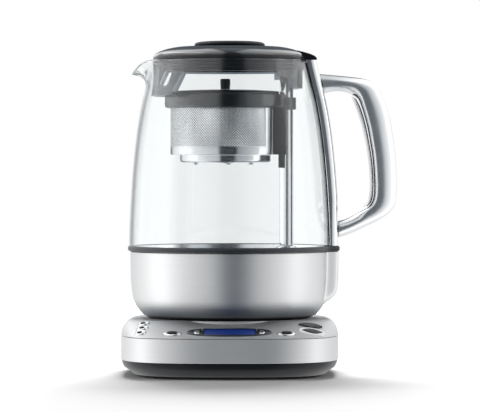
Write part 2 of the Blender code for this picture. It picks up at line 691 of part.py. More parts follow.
def buttons():
    """Every button: name, frame, board frame, outline maker, half length, half height and finish."""
    rows = []
    names = ("clock_button_top", "clock_button_middle", "clock_button_bottom")
    for name, x_share, rise_share in zip(names, CLOCK_X_SHARES, CLOCK_RISE_SHARES):
        frame = panel_frame(x_share, rise_share, CONTROL_LEAN)
        rows.append((name, frame, CLOCK_BOARD_FRAME, oval,
                     SMALL_BUTTON_HALF_LENGTH, SMALL_BUTTON_HALF_HEIGHT, "chrome"))
    for name, side in (("tea_type_button", -1), ("strength_button", 1)):
        frame = panel_frame(side * OVAL_X_SHARE, OVAL_RISE_SHARE)
        rows.append((name, frame, DISPLAY_FRAME, oval,
                     OVAL_BUTTON_HALF_LENGTH, OVAL_BUTTON_HALF_HEIGHT, "chrome"))
    for name, side in (("display_minus_button", -1), ("display_plus_button", 1)):
        rows.append((name, end_button_frame(side), DISPLAY_FRAME, oval,
                     END_BUTTON_HALF_LENGTH, END_BUTTON_HALF_HEIGHT, "chrome"))
    rows.append(("hot_water_button", panel_frame(*HOT_WATER_SHARES, -CONTROL_LEAN), START_BOARD_FRAME, lens,
                 LENS_BUTTON_HALF_LENGTH, LENS_BUTTON_HALF_HEIGHT, "gloss_black"))
    rows.append(("start_button", panel_frame(*START_SHARES, -CONTROL_LEAN), START_BOARD_FRAME, lens,
                 START_BUTTON_HALF_LENGTH, START_BUTTON_HALF_HEIGHT, "gloss_black"))
    return rows


# Power base


def base_screw_places():
    """The four places of the screws that hold tray and deck together."""
    x = BASE_SCREW_PLACE_SHARES[0] * BASE_HALF_WIDTH
    y = BASE_SCREW_PLACE_SHARES[1] * BASE_HALF_DEPTH
    return [(side * x, end * y) for side in (-1, 1) for end in (-1, 1)]


def gland_frame():
    """The cord gland's frame at the back, its Z axis pointing out of the base."""
    return along_y(0.0, BASE_HALF_DEPTH - GLAND_SINK, BAND_BOTTOM + GLAND_RISE_SHARE * BAND_HEIGHT)


def build_base_bottom(body):
    """The black tray with its skirt behind the band, screw seats, foot groove and board standoffs."""
    bm = bmesh.new()
    lip = BAND_BOTTOM - GAP
    skirt_top = BAND_TOP - SKIRT_DROP
    inner = SKIRT_INSET + TRAY_WALL
    levels = (
        (TRAY_FOOT_INSET, FOOT_STAND), (TRAY_TUCK_INSET, FOOT_STAND + TRAY_TUCK_SHARE * TRAY_HEIGHT),
        (TRAY_LIP_INSET, lip), (SKIRT_INSET, lip), (SKIRT_INSET, skirt_top), (inner, skirt_top),
        (inner, BAND_BOTTOM), (TRAY_FLOOR_INSET, TRAY_FLOOR_TOP))
    add_loft(bm, [base_loop(inset, z) for inset, z in levels])
    tray = add_node("base_bottom", bm, body, "black_plastic")
    bm = bmesh.new()
    for x, y in standoff_places():
        add_rod(bm, STANDOFF_RADIUS, TRAY_FLOOR_TOP - TRAY_FLOOR / 2, TRAY_FLOOR_TOP + STANDOFF_HEIGHT,
                at(x, y))
    combine(tray, bm, "UNION")
    bm = bmesh.new()
    add_pipe(bm, FOOT_OUTER - FOOT_WIDTH - GAP, FOOT_OUTER + GAP, -OVERRUN, FOOT_STAND + FOOT_RECESS)
    for x, y in base_screw_places():
        add_turned(bm, (
            (0.0, -OVERRUN), (SCREW_HEAD_RADIUS + GAP, -OVERRUN),
            (SCREW_HEAD_RADIUS + GAP, FOOT_STAND + SCREW_SEAT),
            (SCREW_SHANK_RADIUS + GAP, FOOT_STAND + SCREW_SEAT),
            (SCREW_SHANK_RADIUS + GAP, TRAY_FLOOR_TOP + OVERRUN),
            (0.0, TRAY_FLOOR_TOP + OVERRUN)), at(x, y), SMALL_STEPS)
    add_rod(bm, GLAND_RADIUS + GAP, -GLAND_LENGTH, OVERRUN, gland_frame())
    combine(tray, bm, "DIFFERENCE")


def standoff_places():
    """Where the main board stands on the tray."""
    x = STANDOFF_PLACE_SHARE * MAIN_BOARD_HALF_WIDTH
    y = STANDOFF_PLACE_SHARE * MAIN_BOARD_HALF_DEPTH
    return [(side * x, MAIN_BOARD_Y + end * y) for side in (-1, 1) for end in (-1, 1)]


def build_base_band(body):
    """The brushed steel strip round the base."""
    bm = bmesh.new()
    add_loft(bm, [base_loop(0.0, BAND_BOTTOM), base_loop(0.0, BAND_TOP),
                  base_loop(BAND_WALL, BAND_TOP), base_loop(BAND_WALL, BAND_BOTTOM)], closed=True)
    band = add_node("base_band", bm, body, "brushed_steel")
    bm = bmesh.new()
    add_rod(bm, GLAND_RADIUS + GAP, -GLAND_LENGTH, OVERRUN, gland_frame())
    combine(band, bm, "DIFFERENCE")


def deck_sections():
    """The deck's shell, from its inner ceiling down the inside and up the outside."""
    shares = [math.sin(math.pi / 2 * bend / DECK_BENDS) for bend in range(DECK_BENDS + 1)]
    sections = []
    for share in reversed(shares):
        half_width, front, back, z = deck_level(share)
        sections.append(plan_loop(half_width - DECK_WALL, front - DECK_WALL, back - DECK_WALL,
                                  z - DECK_WALL * share))
    sections += [plan_loop(*deck_level(share)) for share in shares]
    return sections


def board_posts():
    """The little posts that carry the boards under the slope: frame, x and y of each."""
    spread = DISPLAY_POST_SHARE * DISPLAY_BOARD_HALF_LENGTH
    height = DISPLAY_BOARD_ABOVE - BOARD_POST_EDGE
    posts = [(DISPLAY_FRAME, side * spread, height) for side in (-1, 1)]
    inside = CLOCK_BOARD_INSIDE - BOARD_POST_EDGE
    posts += [(CLOCK_BOARD_FRAME, inside, BOARD_POST_SPREAD_SHARE * end)
              for end in (-CLOCK_BOARD_BELOW, CLOCK_BOARD_ABOVE)]
    inside = START_BOARD_INSIDE - BOARD_POST_EDGE
    posts += [(START_BOARD_FRAME, -inside, BOARD_POST_SPREAD_SHARE * end)
              for end in (-START_BOARD_BELOW, START_BOARD_ABOVE)]
    return posts


def panel_holes(bm):
    """Cutters for every button and insert in the control panel."""
    low = -BOARD_DEPTH / 2
    add_prism(bm, oval(BEZEL_HALF_LENGTH + GAP, BEZEL_HALF_HEIGHT + GAP, BEZEL_SQUARENESS, BEZEL_STEPS),
              DISPLAY_FRAME, low, OVERRUN)
    for name, frame, _, outline, half_length, half_height, _ in buttons():
        if name.startswith("display"):
            continue
        if name.startswith("clock"):
            grown = oval(half_length + RUN_GAP + SURROUND + GAP, half_height + RUN_GAP + SURROUND + GAP)
        elif name == "start_button":
            grown = oval(LIGHT_RING_HALF_LENGTH + GAP, LIGHT_RING_HALF_HEIGHT + GAP)
        else:
            grown = outline(half_length + RUN_GAP, half_height + RUN_GAP)
        add_prism(bm, grown, frame, low, OVERRUN)


def build_base_top(body):
    """The silver deck: shell, raised seat, screw bosses, board posts, and holes for the controls."""
    bm = bmesh.new()
    add_loft(bm, deck_sections())
    deck = add_node("base_top", bm, body, "silver_plastic")
    bm = bmesh.new()
    add_rod(bm, SEAT_RADIUS, SEAT_TOP - SEAT_THICKNESS, SEAT_TOP, None, TURN_STEPS)
    combine(deck, bm, "UNION")
    bm = bmesh.new()
    ceiling = DECK_TOP - DECK_WALL / 2
    for x, y in base_screw_places():
        add_rod(bm, BOSS_RADIUS, TRAY_FLOOR_TOP + GAP, ceiling, at(x, y))
    for frame, x, y in board_posts():
        top = slope_in_frame(frame, x, y) - DECK_WALL / 3
        add_rod(bm, BOARD_POST_RADIUS, GAP - BOARD_DEPTH, top, frame @ at(x, y), POST_STEPS)
    combine(deck, bm, "UNION")
    bm = bmesh.new()
    add_rod(bm, HUB_RADIUS + GAP, DECK_TOP - DECK_WALL - OVERRUN, SEAT_TOP + OVERRUN, None, TURN_STEPS)
    for x, y in base_screw_places():
        add_rod(bm, SCREW_SHANK_RADIUS + GAP, TRAY_FLOOR_TOP - OVERRUN / 2,
                TRAY_FLOOR_TOP + SCREW_GRIP + OVERRUN, at(x, y))
    panel_holes(bm)
    combine(deck, bm, "DIFFERENCE")


def build_base_fasteners(body):
    """The rubber foot ring and the four screws from below."""
    bm = bmesh.new()
    add_pipe(bm, FOOT_OUTER - FOOT_WIDTH, FOOT_OUTER, 0.0, FOOT_STAND + FOOT_RECESS - GAP)
    add_node("foot_ring", bm, body, "black_rubber")
    seat = FOOT_STAND + SCREW_SEAT - GAP
    for number, (x, y) in enumerate(base_screw_places(), start=1):
        bm = bmesh.new()
        add_turned(bm, (
            (0.0, seat - SCREW_HEAD_HEIGHT), (SCREW_HEAD_RADIUS, seat - SCREW_HEAD_HEIGHT),
            (SCREW_HEAD_RADIUS, seat), (SCREW_SHANK_RADIUS, seat), (SCREW_SHANK_RADIUS, seat + SCREW_GRIP),
            (0.0, seat + SCREW_GRIP)), at(x, y), SMALL_STEPS)
        add_node(f"base_screw_{number}", bm, body, "dark_metal")


def build_base_power(body):
    """Cord gland, main board with its relay, connector hub and its contact."""
    bm = bmesh.new()
    skirt_back = GLAND_SINK - SKIRT_INSET - TRAY_WALL - GAP
    add_turned(bm, (
        (GLAND_BORE, skirt_back - GLAND_FLANGE), (GLAND_FLANGE_RADIUS, skirt_back - GLAND_FLANGE),
        (GLAND_FLANGE_RADIUS, skirt_back), (GLAND_RADIUS, skirt_back), (GLAND_RADIUS, 0.0), (GLAND_BORE, 0.0)),
        gland_frame(), SMALL_STEPS + SMALL_STEPS // 2)
    add_node("cord_gland", bm, body, "black_rubber")
    bm = bmesh.new()
    board_low = TRAY_FLOOR_TOP + STANDOFF_HEIGHT + GAP
    board_top = board_low + BOARD_THICKNESS
    add_block(bm, (-MAIN_BOARD_HALF_WIDTH, MAIN_BOARD_Y - MAIN_BOARD_HALF_DEPTH, board_low),
              (MAIN_BOARD_HALF_WIDTH, MAIN_BOARD_Y + MAIN_BOARD_HALF_DEPTH, board_top))
    board = add_node("main_board", bm, body, "green_board")
    bm = bmesh.new()
    middle = board_low + BOARD_THICKNESS / 2
    add_block(bm, (RELAY_OFFSET - RELAY_WIDTH / 2, MAIN_BOARD_Y - RELAY_DEPTH / 2, middle),
              (RELAY_OFFSET + RELAY_WIDTH / 2, MAIN_BOARD_Y + RELAY_DEPTH / 2, board_top + RELAY_HEIGHT))
    combine(board, bm, "UNION")
    bm = bmesh.new()
    ceiling = SEAT_TOP - SEAT_THICKNESS - GAP
    groove = HUB_TOP - HUB_GROOVE_DEPTH
    add_turned(bm, (
        (0.0, ceiling - HUB_FLANGE), (HUB_FLANGE_RADIUS, ceiling - HUB_FLANGE), (HUB_FLANGE_RADIUS, ceiling),
        (HUB_RADIUS, ceiling), (HUB_RADIUS, HUB_TOP - HUB_CHAMFER), (HUB_RADIUS - HUB_CHAMFER, HUB_TOP),
        (HUB_RING_OUTER, HUB_TOP), (HUB_RING_OUTER, groove), (HUB_RING_INNER, groove),
        (HUB_RING_INNER, HUB_TOP),
        (HUB_PIN_HOLE, HUB_TOP), (HUB_PIN_HOLE, groove), (0.0, groove)), steps=TURN_STEPS // 2)
    add_node("base_connector", bm, body, "black_plastic")
    bm = bmesh.new()
    low = groove + GAP
    add_pipe(bm, HUB_RING_INNER + GAP, HUB_RING_OUTER - GAP, low, low + CONTACT_HEIGHT, steps=TURN_STEPS // 2)
    add_node("connector_contact", bm, body, "brass")


def build_display(body):
    """The bezel and the blue window in it."""
    bm = bmesh.new()
    add_prism(bm, oval(BEZEL_HALF_LENGTH, BEZEL_HALF_HEIGHT, BEZEL_SQUARENESS, BEZEL_STEPS),
              DISPLAY_FRAME, -BEZEL_DEPTH, BEZEL_PROUD)
    bezel = add_node("display_bezel", bm, body, "gloss_black")
    bm = bmesh.new()
    low = -BEZEL_DEPTH - OVERRUN
    add_block(bm, (-WINDOW_HALF_LENGTH, -WINDOW_HALF_HEIGHT, low),
              (WINDOW_HALF_LENGTH, WINDOW_HALF_HEIGHT, OVERRUN), DISPLAY_FRAME)
    for side in (-1, 1):
        add_prism(bm, oval(END_BUTTON_HALF_LENGTH + RUN_GAP, END_BUTTON_HALF_HEIGHT + RUN_GAP),
                  end_button_frame(side), low, OVERRUN)
    combine(bezel, bm, "DIFFERENCE")
    bm = bmesh.new()
    top = BEZEL_PROUD - WINDOW_SINK
    add_block(bm, (GAP - WINDOW_HALF_LENGTH, GAP - WINDOW_HALF_HEIGHT, top - WINDOW_THICKNESS),
              (WINDOW_HALF_LENGTH - GAP, WINDOW_HALF_HEIGHT - GAP, top), DISPLAY_FRAME)
    add_node("display_window", bm, body, "blue_display")


def build_boards(body):
    """The three boards under the slope, with a key switch under each button and the display module."""
    boards = (
        ("display_board", DISPLAY_FRAME, -DISPLAY_BOARD_HALF_LENGTH, DISPLAY_BOARD_HALF_LENGTH,
         -DISPLAY_BOARD_BELOW, DISPLAY_BOARD_ABOVE),
        ("clock_button_board", CLOCK_BOARD_FRAME, -CLOCK_BOARD_OUTSIDE, CLOCK_BOARD_INSIDE,
         -CLOCK_BOARD_BELOW, CLOCK_BOARD_ABOVE),
        ("start_button_board", START_BOARD_FRAME, -START_BOARD_INSIDE, START_BOARD_OUTSIDE,
         -START_BOARD_BELOW, START_BOARD_ABOVE))
    middle = -BOARD_DEPTH - BOARD_THICKNESS / 2
    for name, frame, left, right, low, high in boards:
        bm = bmesh.new()
        add_block(bm, (left, low, -BOARD_DEPTH - BOARD_THICKNESS), (right, high, -BOARD_DEPTH), frame)
        board = add_node(name, bm, body, "green_board")
        bm = bmesh.new()
        for row in buttons():
            if row[2] == frame:
                place = frame.inverted() @ row[1].translation
                add_block(bm, (place.x - SWITCH_HALF, place.y - SWITCH_HALF, middle),
                          (place.x + SWITCH_HALF, place.y + SWITCH_HALF, SWITCH_HEIGHT - BOARD_DEPTH), frame)
        if frame == DISPLAY_FRAME:
            add_block(bm, (GAP - WINDOW_HALF_LENGTH, GAP - WINDOW_HALF_HEIGHT, middle),
                      (WINDOW_HALF_LENGTH - GAP, WINDOW_HALF_HEIGHT - GAP,
                       BEZEL_PROUD - WINDOW_SINK - WINDOW_THICKNESS - GAP), frame)
        combine(board, bm, "UNION")


def add_button_shape(bm, frame, board, outline, half_length, half_height):
    """A button with a crowned top and a stem that stops short of its switch."""
    depth = (board.inverted() @ frame.translation).z + BOARD_DEPTH
    foot = SWITCH_HEIGHT + BUTTON_TRAVEL + GAP - depth
    rows = (
        (half_length, half_height, foot), (half_length, half_height, BUTTON_PROUD - BUTTON_CROWN),
        (half_length - BUTTON_CROWN, half_height - BUTTON_CROWN, BUTTON_PROUD))
    add_loft(bm, [[frame @ Vector((x, y, z)) for x, y in outline(length, height)]
                  for length, height, z in rows])


def build_buttons(root):
    """Each button on its own body, which slides into the panel."""
    for name, frame, board, outline, half_length, half_height, finish in buttons():
        body = add_body(name + "_joint", frame.translation, root)
        bm = bmesh.new()
        add_button_shape(bm, frame, board, outline, half_length, half_height)
        add_node(name, bm, body, finish)


def add_surround(bm, frame, outer, inner, low, high):
    """A ring between two outlines with the same number of points."""
    rows = ((outer, low), (outer, high), (inner, high), (inner, low))
    add_loft(bm, [[frame @ Vector((x, y, z)) for x, y in outline] for outline, z in rows], closed=True)


def build_surrounds(body):
    """Chrome surrounds of the clock buttons on one hidden carrier, and the start button's light ring."""
    clocks = [row for row in buttons() if row[0].startswith("clock")]
    bm = bmesh.new()
    add_block(bm, (-CARRIER_OUTSIDE, -CLOCK_BOARD_BELOW, -CARRIER_DEPTH - CARRIER_THICKNESS),
              (CARRIER_INSIDE, CLOCK_BOARD_ABOVE, -CARRIER_DEPTH), CLOCK_BOARD_FRAME)
    carrier = add_node("clock_button_surround", bm, body, "chrome")
    bm = bmesh.new()
    for _, frame, _, _, half_length, half_height, _ in clocks:
        outer = oval(half_length + RUN_GAP + SURROUND, half_height + RUN_GAP + SURROUND)
        add_prism(bm, outer, frame, -CARRIER_DEPTH - CARRIER_THICKNESS / 2, SURROUND_PROUD)
    combine(carrier, bm, "UNION")
    bm = bmesh.new()
    for _, frame, _, _, half_length, half_height, _ in clocks:
        add_prism(bm, oval(half_length + RUN_GAP, half_height + RUN_GAP), frame, -BOARD_DEPTH, OVERRUN)
    combine(carrier, bm, "DIFFERENCE")
    bm = bmesh.new()
    frame = panel_frame(*START_SHARES, -CONTROL_LEAN)
    add_surround(bm, frame, oval(LIGHT_RING_HALF_LENGTH, LIGHT_RING_HALF_HEIGHT),
                 lens(START_BUTTON_HALF_LENGTH + RUN_GAP, START_BUTTON_HALF_HEIGHT + RUN_GAP),
                 -DECK_WALL, SURROUND_PROUD)
    add_node("start_button_light_ring", bm, body, "white_light")


# Jug


def glass_radius(z):
    """The glass's outer radius at a height."""
    return GLASS_RADIUS * table_value(GLASS_RADIUS_SHARES, (z - GLASS_FOOT) / GLASS_HEIGHT)


def bowl_radius(z):
    """The bowl's outer radius at a height."""
    return BOWL_TOP_RADIUS * table_value(BOWL_RADIUS_SHARES, (z - BOWL_BOTTOM) / BOWL_HEIGHT)


def rib_reach(z):
    """How far the bowl's rib reaches from the axis at a height."""
    return bowl_radius(z) + RIB_PROUD * table_value(RIB_PROUD_SHARES, (z - BOWL_BOTTOM) / BOWL_HEIGHT)


def spine_face(z):
    """How far the spine's outer face lies from the axis at a height."""
    return min(glass_radius(z) + SPINE_DEPTH, rib_reach(BOWL_TOP) - SPINE_FACE_LIMIT)


def jug_angles():
    """Angles once round the jug: fine at the rib and the spout, even between them."""
    rib = [RIB_CORNER * (2 * step / RIB_STEPS - 1) for step in range(RIB_STEPS + 1)]
    rib = [rib[0] - RIB_FLANK] + rib + [rib[-1] + RIB_FLANK]
    spout = [math.pi + SPOUT_SECTOR * (2 * step / SPOUT_STEPS - 1) for step in range(SPOUT_STEPS + 1)]
    side = [rib[-1] + (spout[0] - rib[-1]) * step / SIDE_STEPS for step in range(1, SIDE_STEPS)]
    return rib + side + spout + [2 * math.pi - angle for angle in reversed(side)]


RIB_CORNER = math.asin(RIB_HALF_WIDTH / (BOWL_TOP_RADIUS + RIB_PROUD))
JUG_ANGLES = jug_angles()


def jug_circle(radius, z):
    """A circle round the jug's axis with the same angles as the glass and the bowl."""
    return [(radius * math.cos(angle), radius * math.sin(angle), z) for angle in JUG_ANGLES]


def glass_loop(share, inset, reach_share=0.0, drop_share=0.0):
    """One loop of the glass, drawn out and down at the spout."""
    z = GLASS_FOOT + share * GLASS_HEIGHT
    radius = glass_radius(z) - inset
    points = []
    for angle in JUG_ANGLES:
        swell = math.exp(-(turn_offset(angle, math.pi) / SPOUT_SPREAD) ** 2)
        drop = SPOUT_DROP * drop_share * swell ** SPOUT_DROP_POWER
        reach = radius + SPOUT_REACH * reach_share * swell
        lift = inset * reach_share * swell
        points.append((reach * math.cos(angle), reach * math.sin(angle), z - drop + lift))
    return points


def build_glass(body):
    """The glass wall with its spout, open at both ends."""
    bm = bmesh.new()
    shares = [share for share, _ in GLASS_RADIUS_SHARES if share < SPOUT_LEVEL_SHARES[-1][0]]
    outer = [glass_loop(share, 0.0) for share in shares]
    outer += [glass_loop(share, 0.0, reach, drop) for share, reach, drop in reversed(SPOUT_LEVEL_SHARES)]
    inner = [glass_loop(share, GLASS_WALL, reach, drop) for share, reach, drop in SPOUT_LEVEL_SHARES]
    inner += [glass_loop(share, GLASS_WALL) for share in reversed(shares)]
    add_loft(bm, outer + inner, closed=True)
    add_node("glass_jug", bm, body, "clear_glass")


def ribbed_loop(radius, reach, z):
    """A circle whose front at the handle is flat and stands out to the rib's reach."""
    points = []
    for angle in JUG_ANGLES:
        offset = abs(turn_offset(angle, 0.0))
        on_rib = offset <= RIB_CORNER + RIB_FLANK / 2
        distance = max(radius, reach / math.cos(offset)) if on_rib else radius
        points.append((distance * math.cos(angle), distance * math.sin(angle), z))
    return points


def bowl_loop(share, inset):
    """One loop of the bowl with its rib."""
    z = BOWL_BOTTOM + share * BOWL_HEIGHT
    return ribbed_loop(bowl_radius(z) - inset, rib_reach(z) - inset, z)


def build_bowl(body):
    """The steel bowl: an open shell with a rib at the handle and a ledge that carries the plate."""
    bm = bmesh.new()
    sections = [bowl_loop(share, 0.0) for share in BOWL_LEVEL_SHARES]
    ledge = PLATE_BOTTOM - GAP
    radius = bowl_radius(BOWL_TOP) - BOWL_WALL
    reach = rib_reach(BOWL_TOP) - BOWL_WALL
    sections.append(ribbed_loop(radius, reach, BOWL_TOP))
    sections.append(ribbed_loop(radius, reach, ledge))
    sections.append(jug_circle(radius - LEDGE_WIDTH, ledge))
    sections.append(jug_circle(radius - LEDGE_WIDTH, ledge - LEDGE_THICKNESS))
    under = ledge - LEDGE_THICKNESS
    sections.append(ribbed_loop(bowl_radius(under) - BOWL_WALL, rib_reach(under) - BOWL_WALL, under))
    sections += [bowl_loop(share, BOWL_WALL) for share in BOWL_INNER_LEVEL_SHARES]
    add_loft(bm, sections, closed=True)
    add_node("steel_bowl", bm, body, "brushed_steel")


def build_seal(body):
    """The black seal under the glass, bulging over the top of the bowl's rib."""
    bm = bmesh.new()
    outer = BOWL_TOP_RADIUS + SEAL_PROUD
    reach = rib_reach(BOWL_TOP) + SEAL_PROUD / 2
    bed = SEAL_BOTTOM + SEAL_FLOOR
    wall_top = glass_radius(SEAL_TOP) + GAP
    wall_foot = glass_radius(GLASS_FOOT) + GAP
    lip = glass_radius(GLASS_FOOT) - GLASS_WALL - GAP
    rows = (
        (wall_top, SEAL_TOP), (wall_foot, bed), (lip, bed), (lip, SEAL_BOTTOM + SEAL_LIP_HEIGHT),
        (lip - SEAL_LIP, SEAL_BOTTOM + SEAL_LIP_HEIGHT), (lip - SEAL_LIP, SEAL_BOTTOM))
    add_loft(bm, [ribbed_loop(outer, reach, SEAL_BOTTOM), ribbed_loop(outer, reach, SEAL_TOP)]
             + [jug_circle(*row) for row in rows], closed=True)
    add_node("glass_seal", bm, body, "black_rubber")


def post_hole(bm, clearance, low, high):
    """A cutter for the post."""
    add_rod(bm, POST_RADIUS + clearance, low, high, at(POST_X, 0.0), HOLE_STEPS)


def build_heater(body):
    """Heating plate, the element under it and the temperature sensor."""
    bm = bmesh.new()
    radius = bowl_radius(BOWL_TOP) - BOWL_WALL - GAP
    add_loft(bm, [jug_circle(radius, PLATE_BOTTOM), jug_circle(radius, PLATE_TOP)])
    plate = add_node("heating_plate", bm, body, "brushed_steel")
    bm = bmesh.new()
    post_hole(bm, GAP, PLATE_BOTTOM - OVERRUN, PLATE_TOP + OVERRUN)
    combine(plate, bm, "DIFFERENCE")
    build_element(body)
    bm = bmesh.new()
    x, y = (share * GLASS_RADIUS for share in SENSOR_PLACE_SHARES)
    add_rod(bm, SENSOR_RADIUS, PLATE_BOTTOM - GAP - SENSOR_HEIGHT, PLATE_BOTTOM - GAP, at(x, y))
    add_node("temperature_sensor", bm, body, "dark_metal")


def build_element(body):
    """The sheathed element: an open ring under the plate whose ends turn down."""
    z = PLATE_BOTTOM - GAP - ELEMENT_TUBE
    start = math.pi / 2 + ELEMENT_OPEN / 2
    sweep = 2 * math.pi - ELEMENT_OPEN
    points = [Vector((ELEMENT_RADIUS * math.cos(start), ELEMENT_RADIUS * math.sin(start), z - ELEMENT_TAIL))]
    for step in range(ELEMENT_STEPS + 1):
        angle = start + sweep * step / ELEMENT_STEPS
        points.append(Vector((ELEMENT_RADIUS * math.cos(angle), ELEMENT_RADIUS * math.sin(angle), z)))
    points.append(points[-1] - Vector((0.0, 0.0, ELEMENT_TAIL)))
    curve = bpy.data.curves.new("heating_element", "CURVE")
    curve.dimensions = "3D"
    curve.bevel_depth = ELEMENT_TUBE
    curve.bevel_resolution = 1
    curve.use_fill_caps = True
    spline = curve.splines.new("POLY")
    spline.points.add(len(points) - 1)
    for point, place in zip(spline.points, points):
        point.co = (*place, 1.0)
    element = bpy.data.objects.new("heating_element", curve)
    bpy.context.scene.collection.objects.link(element)
    curve.materials.append(make_material("heating_element", "dark_metal"))
    attach(element, body)


def build_underside(body):
    """Underside cover, the frame that carries the motor and the socket, and the jug's power socket."""
    socket_inner = HUB_RADIUS + SOCKET_CLEARANCE
    socket_outer = socket_inner + SOCKET_WALL
    bm = bmesh.new()
    rows = (
        (socket_outer + GAP, JUG_BOTTOM), (COVER_BOTTOM_RADIUS, JUG_BOTTOM),
        (COVER_RADIUS, JUG_BOTTOM + COVER_CHAMFER), (COVER_RADIUS, COVER_TOP), (socket_outer + GAP, COVER_TOP))
    add_loft(bm, [jug_circle(*row) for row in rows], closed=True)
    add_node("underside_cover", bm, body, "black_plastic")
    bm = bmesh.new()
    radius = bowl_radius(FRAME_BOTTOM) - BOWL_WALL - GAP
    rows = ((socket_outer + GAP, FRAME_BOTTOM), (radius, FRAME_BOTTOM), (radius, FRAME_TOP),
            (socket_outer + GAP, FRAME_TOP))
    add_loft(bm, [jug_circle(*row) for row in rows], closed=True)
    add_node("inner_frame", bm, body, "dark_grey_plastic")
    bm = bmesh.new()
    roof = HUB_TOP + SOCKET_ROOF_CLEARANCE
    flange_top = FRAME_BOTTOM - GAP
    add_turned(bm, (
        (socket_inner, JUG_BOTTOM + GAP), (socket_outer, JUG_BOTTOM + GAP),
        (socket_outer, flange_top - SOCKET_FLANGE),
        (SOCKET_FLANGE_RADIUS, flange_top - SOCKET_FLANGE), (SOCKET_FLANGE_RADIUS, flange_top),
        (socket_outer, flange_top), (socket_outer, roof + SOCKET_ROOF), (0.0, roof + SOCKET_ROOF),
        (0.0, roof - GUIDE_PIN_LENGTH), (GUIDE_PIN_RADIUS, roof - GUIDE_PIN_LENGTH), (GUIDE_PIN_RADIUS, roof),
        (socket_inner, roof)), steps=TURN_STEPS // 2)
    add_node("jug_connector", bm, body, "black_plastic")
    bm = bmesh.new()
    low = HUB_TOP - HUB_GROOVE_DEPTH + CONTACT_HEIGHT + 3 * GAP
    middle = (HUB_RING_INNER + HUB_RING_OUTER) / 2
    add_pipe(bm, middle - BLADE_HALF, middle + BLADE_HALF, low, roof - GAP, steps=TURN_STEPS // 2)
    add_node("socket_contact", bm, body, "brass")


def build_spine(body):
    """The silver channel up the outside of the glass, open towards it."""
    low = SEAL_TOP + GAP
    high = GLASS_RIM
    heights = [low]
    heights += [GLASS_FOOT + share * GLASS_HEIGHT for share, _ in GLASS_RADIUS_SHARES]
    heights = [z for z in heights if low <= z <= high]
    half = RIB_HALF_WIDTH
    sections = []
    for z in heights:
        outer = spine_face(z)
        edge = math.sqrt((glass_radius(z) + SPINE_GLASS_GAP) ** 2 - (half - SPINE_WALL) ** 2)
        right = ((edge, half), (outer - SPINE_CORNER, half),
                 (outer - SPINE_CORNER / 4, half - SPINE_CORNER / 4),
                 (outer, half - SPINE_CORNER))
        channel = ((outer - SPINE_WALL, half - SPINE_WALL), (edge, half - SPINE_WALL))
        outline = [(x, -y) for x, y in right] + [(x, y) for x, y in reversed(right)]
        outline += [(x, y) for x, y in reversed(channel)] + [(x, -y) for x, y in channel]
        sections.append([(x, y, z) for x, y in outline])
    bm = bmesh.new()
    add_loft(bm, sections)
    spine = add_node("spine_housing", bm, body, "silver_plastic")
    bm = bmesh.new()
    for z in handle_screw_heights():
        add_rod(bm, SCREW_SHANK_RADIUS + GAP, -SPINE_WALL - OVERRUN / 2, OVERRUN,
                along_x(spine_face(z), 0.0, z))
    combine(spine, bm, "DIFFERENCE")


def handle_height(share):
    """A height on the handle from its share between the lower and the upper arm."""
    low = GLASS_FOOT + HANDLE_DROP_SHARE * GLASS_HEIGHT
    return low + share * (GLASS_RIM - HANDLE_TOP_DROP - low)


def handle_screw_heights():
    """Where the two screws pass from the spine into the handle's arms."""
    return [handle_height(share) for share in HANDLE_SCREW_RISE_SHARES]


def handle_point(reach_share, rise_share, clearance):
    """A point of the handle's side view, from the spine's face at share 0 to the reach at share 1."""
    z = handle_height(rise_share)
    start = spine_face(z) + clearance
    return Vector((start + reach_share * (HANDLE_REACH - start), 0.0, z))


def handle_sections(stations, width, sink):
    """Rounded cross sections of a handle part along its stations."""
    sections = []
    for outer_reach, outer_rise, inner_reach, inner_rise in stations:
        outer = handle_point(outer_reach, outer_rise, GAP)
        inner = handle_point(inner_reach, inner_rise, GAP)
        across = (outer - inner).normalized()
        outer = outer - across * sink
        middle = (outer + inner) / 2
        half = (outer - inner).length / 2
        sections.append([middle + across * x + Vector((0.0, y, 0.0))
                         for x, y in oval(half, width / 2, HANDLE_SQUARENESS, HANDLE_STEPS)])
    return sections


def build_handle(body):
    """The C-shaped handle, its inner liner and the screws from the spine."""
    bm = bmesh.new()
    add_loft(bm, handle_sections(HANDLE_STATION_SHARES, HANDLE_WIDTH, 0.0))
    handle = add_node("handle_shell", bm, body, "chrome")
    bm = bmesh.new()
    for z in handle_screw_heights():
        add_rod(bm, SCREW_SHANK_RADIUS + GAP, -OVERRUN, HANDLE_SCREW_GRIP + GAP, along_x(spine_face(z), 0.0, z))
    combine(handle, bm, "DIFFERENCE")
    bm = bmesh.new()
    add_loft(bm, handle_sections(LINER_STATION_SHARES, HANDLE_WIDTH * LINER_WIDTH_SHARE, GAP))
    add_node("handle_liner", bm, body, "silver_plastic")
    inside = -SPINE_WALL - HANDLE_SCREW_SEAT
    for name, z in zip(("lower_handle_screw", "upper_handle_screw"), handle_screw_heights()):
        bm = bmesh.new()
        add_turned(bm, (
            (0.0, inside - HANDLE_SCREW_HEAD), (SCREW_HEAD_RADIUS, inside - HANDLE_SCREW_HEAD),
            (SCREW_HEAD_RADIUS, inside), (SCREW_SHANK_RADIUS, inside), (SCREW_SHANK_RADIUS, HANDLE_SCREW_GRIP),
            (0.0, HANDLE_SCREW_GRIP)), along_x(spine_face(z), 0.0, z), SMALL_STEPS)
        add_node(name, bm, body, "dark_metal")


# Post and lift drive

POST_FRAME = at(POST_X, 0.0)
POST_BOTTOM = PLATE_BOTTOM - POST_TAIL
BORE_TOP = POST_TOP - POST_CAP
SCREW_FOOT = FRAME_TOP + GAP + MOTOR_HEIGHT + GEARBOX_HEIGHT + GAP
SHUTTLE_MIDDLE = ARM_BOTTOM + ARM_HEIGHT / 2


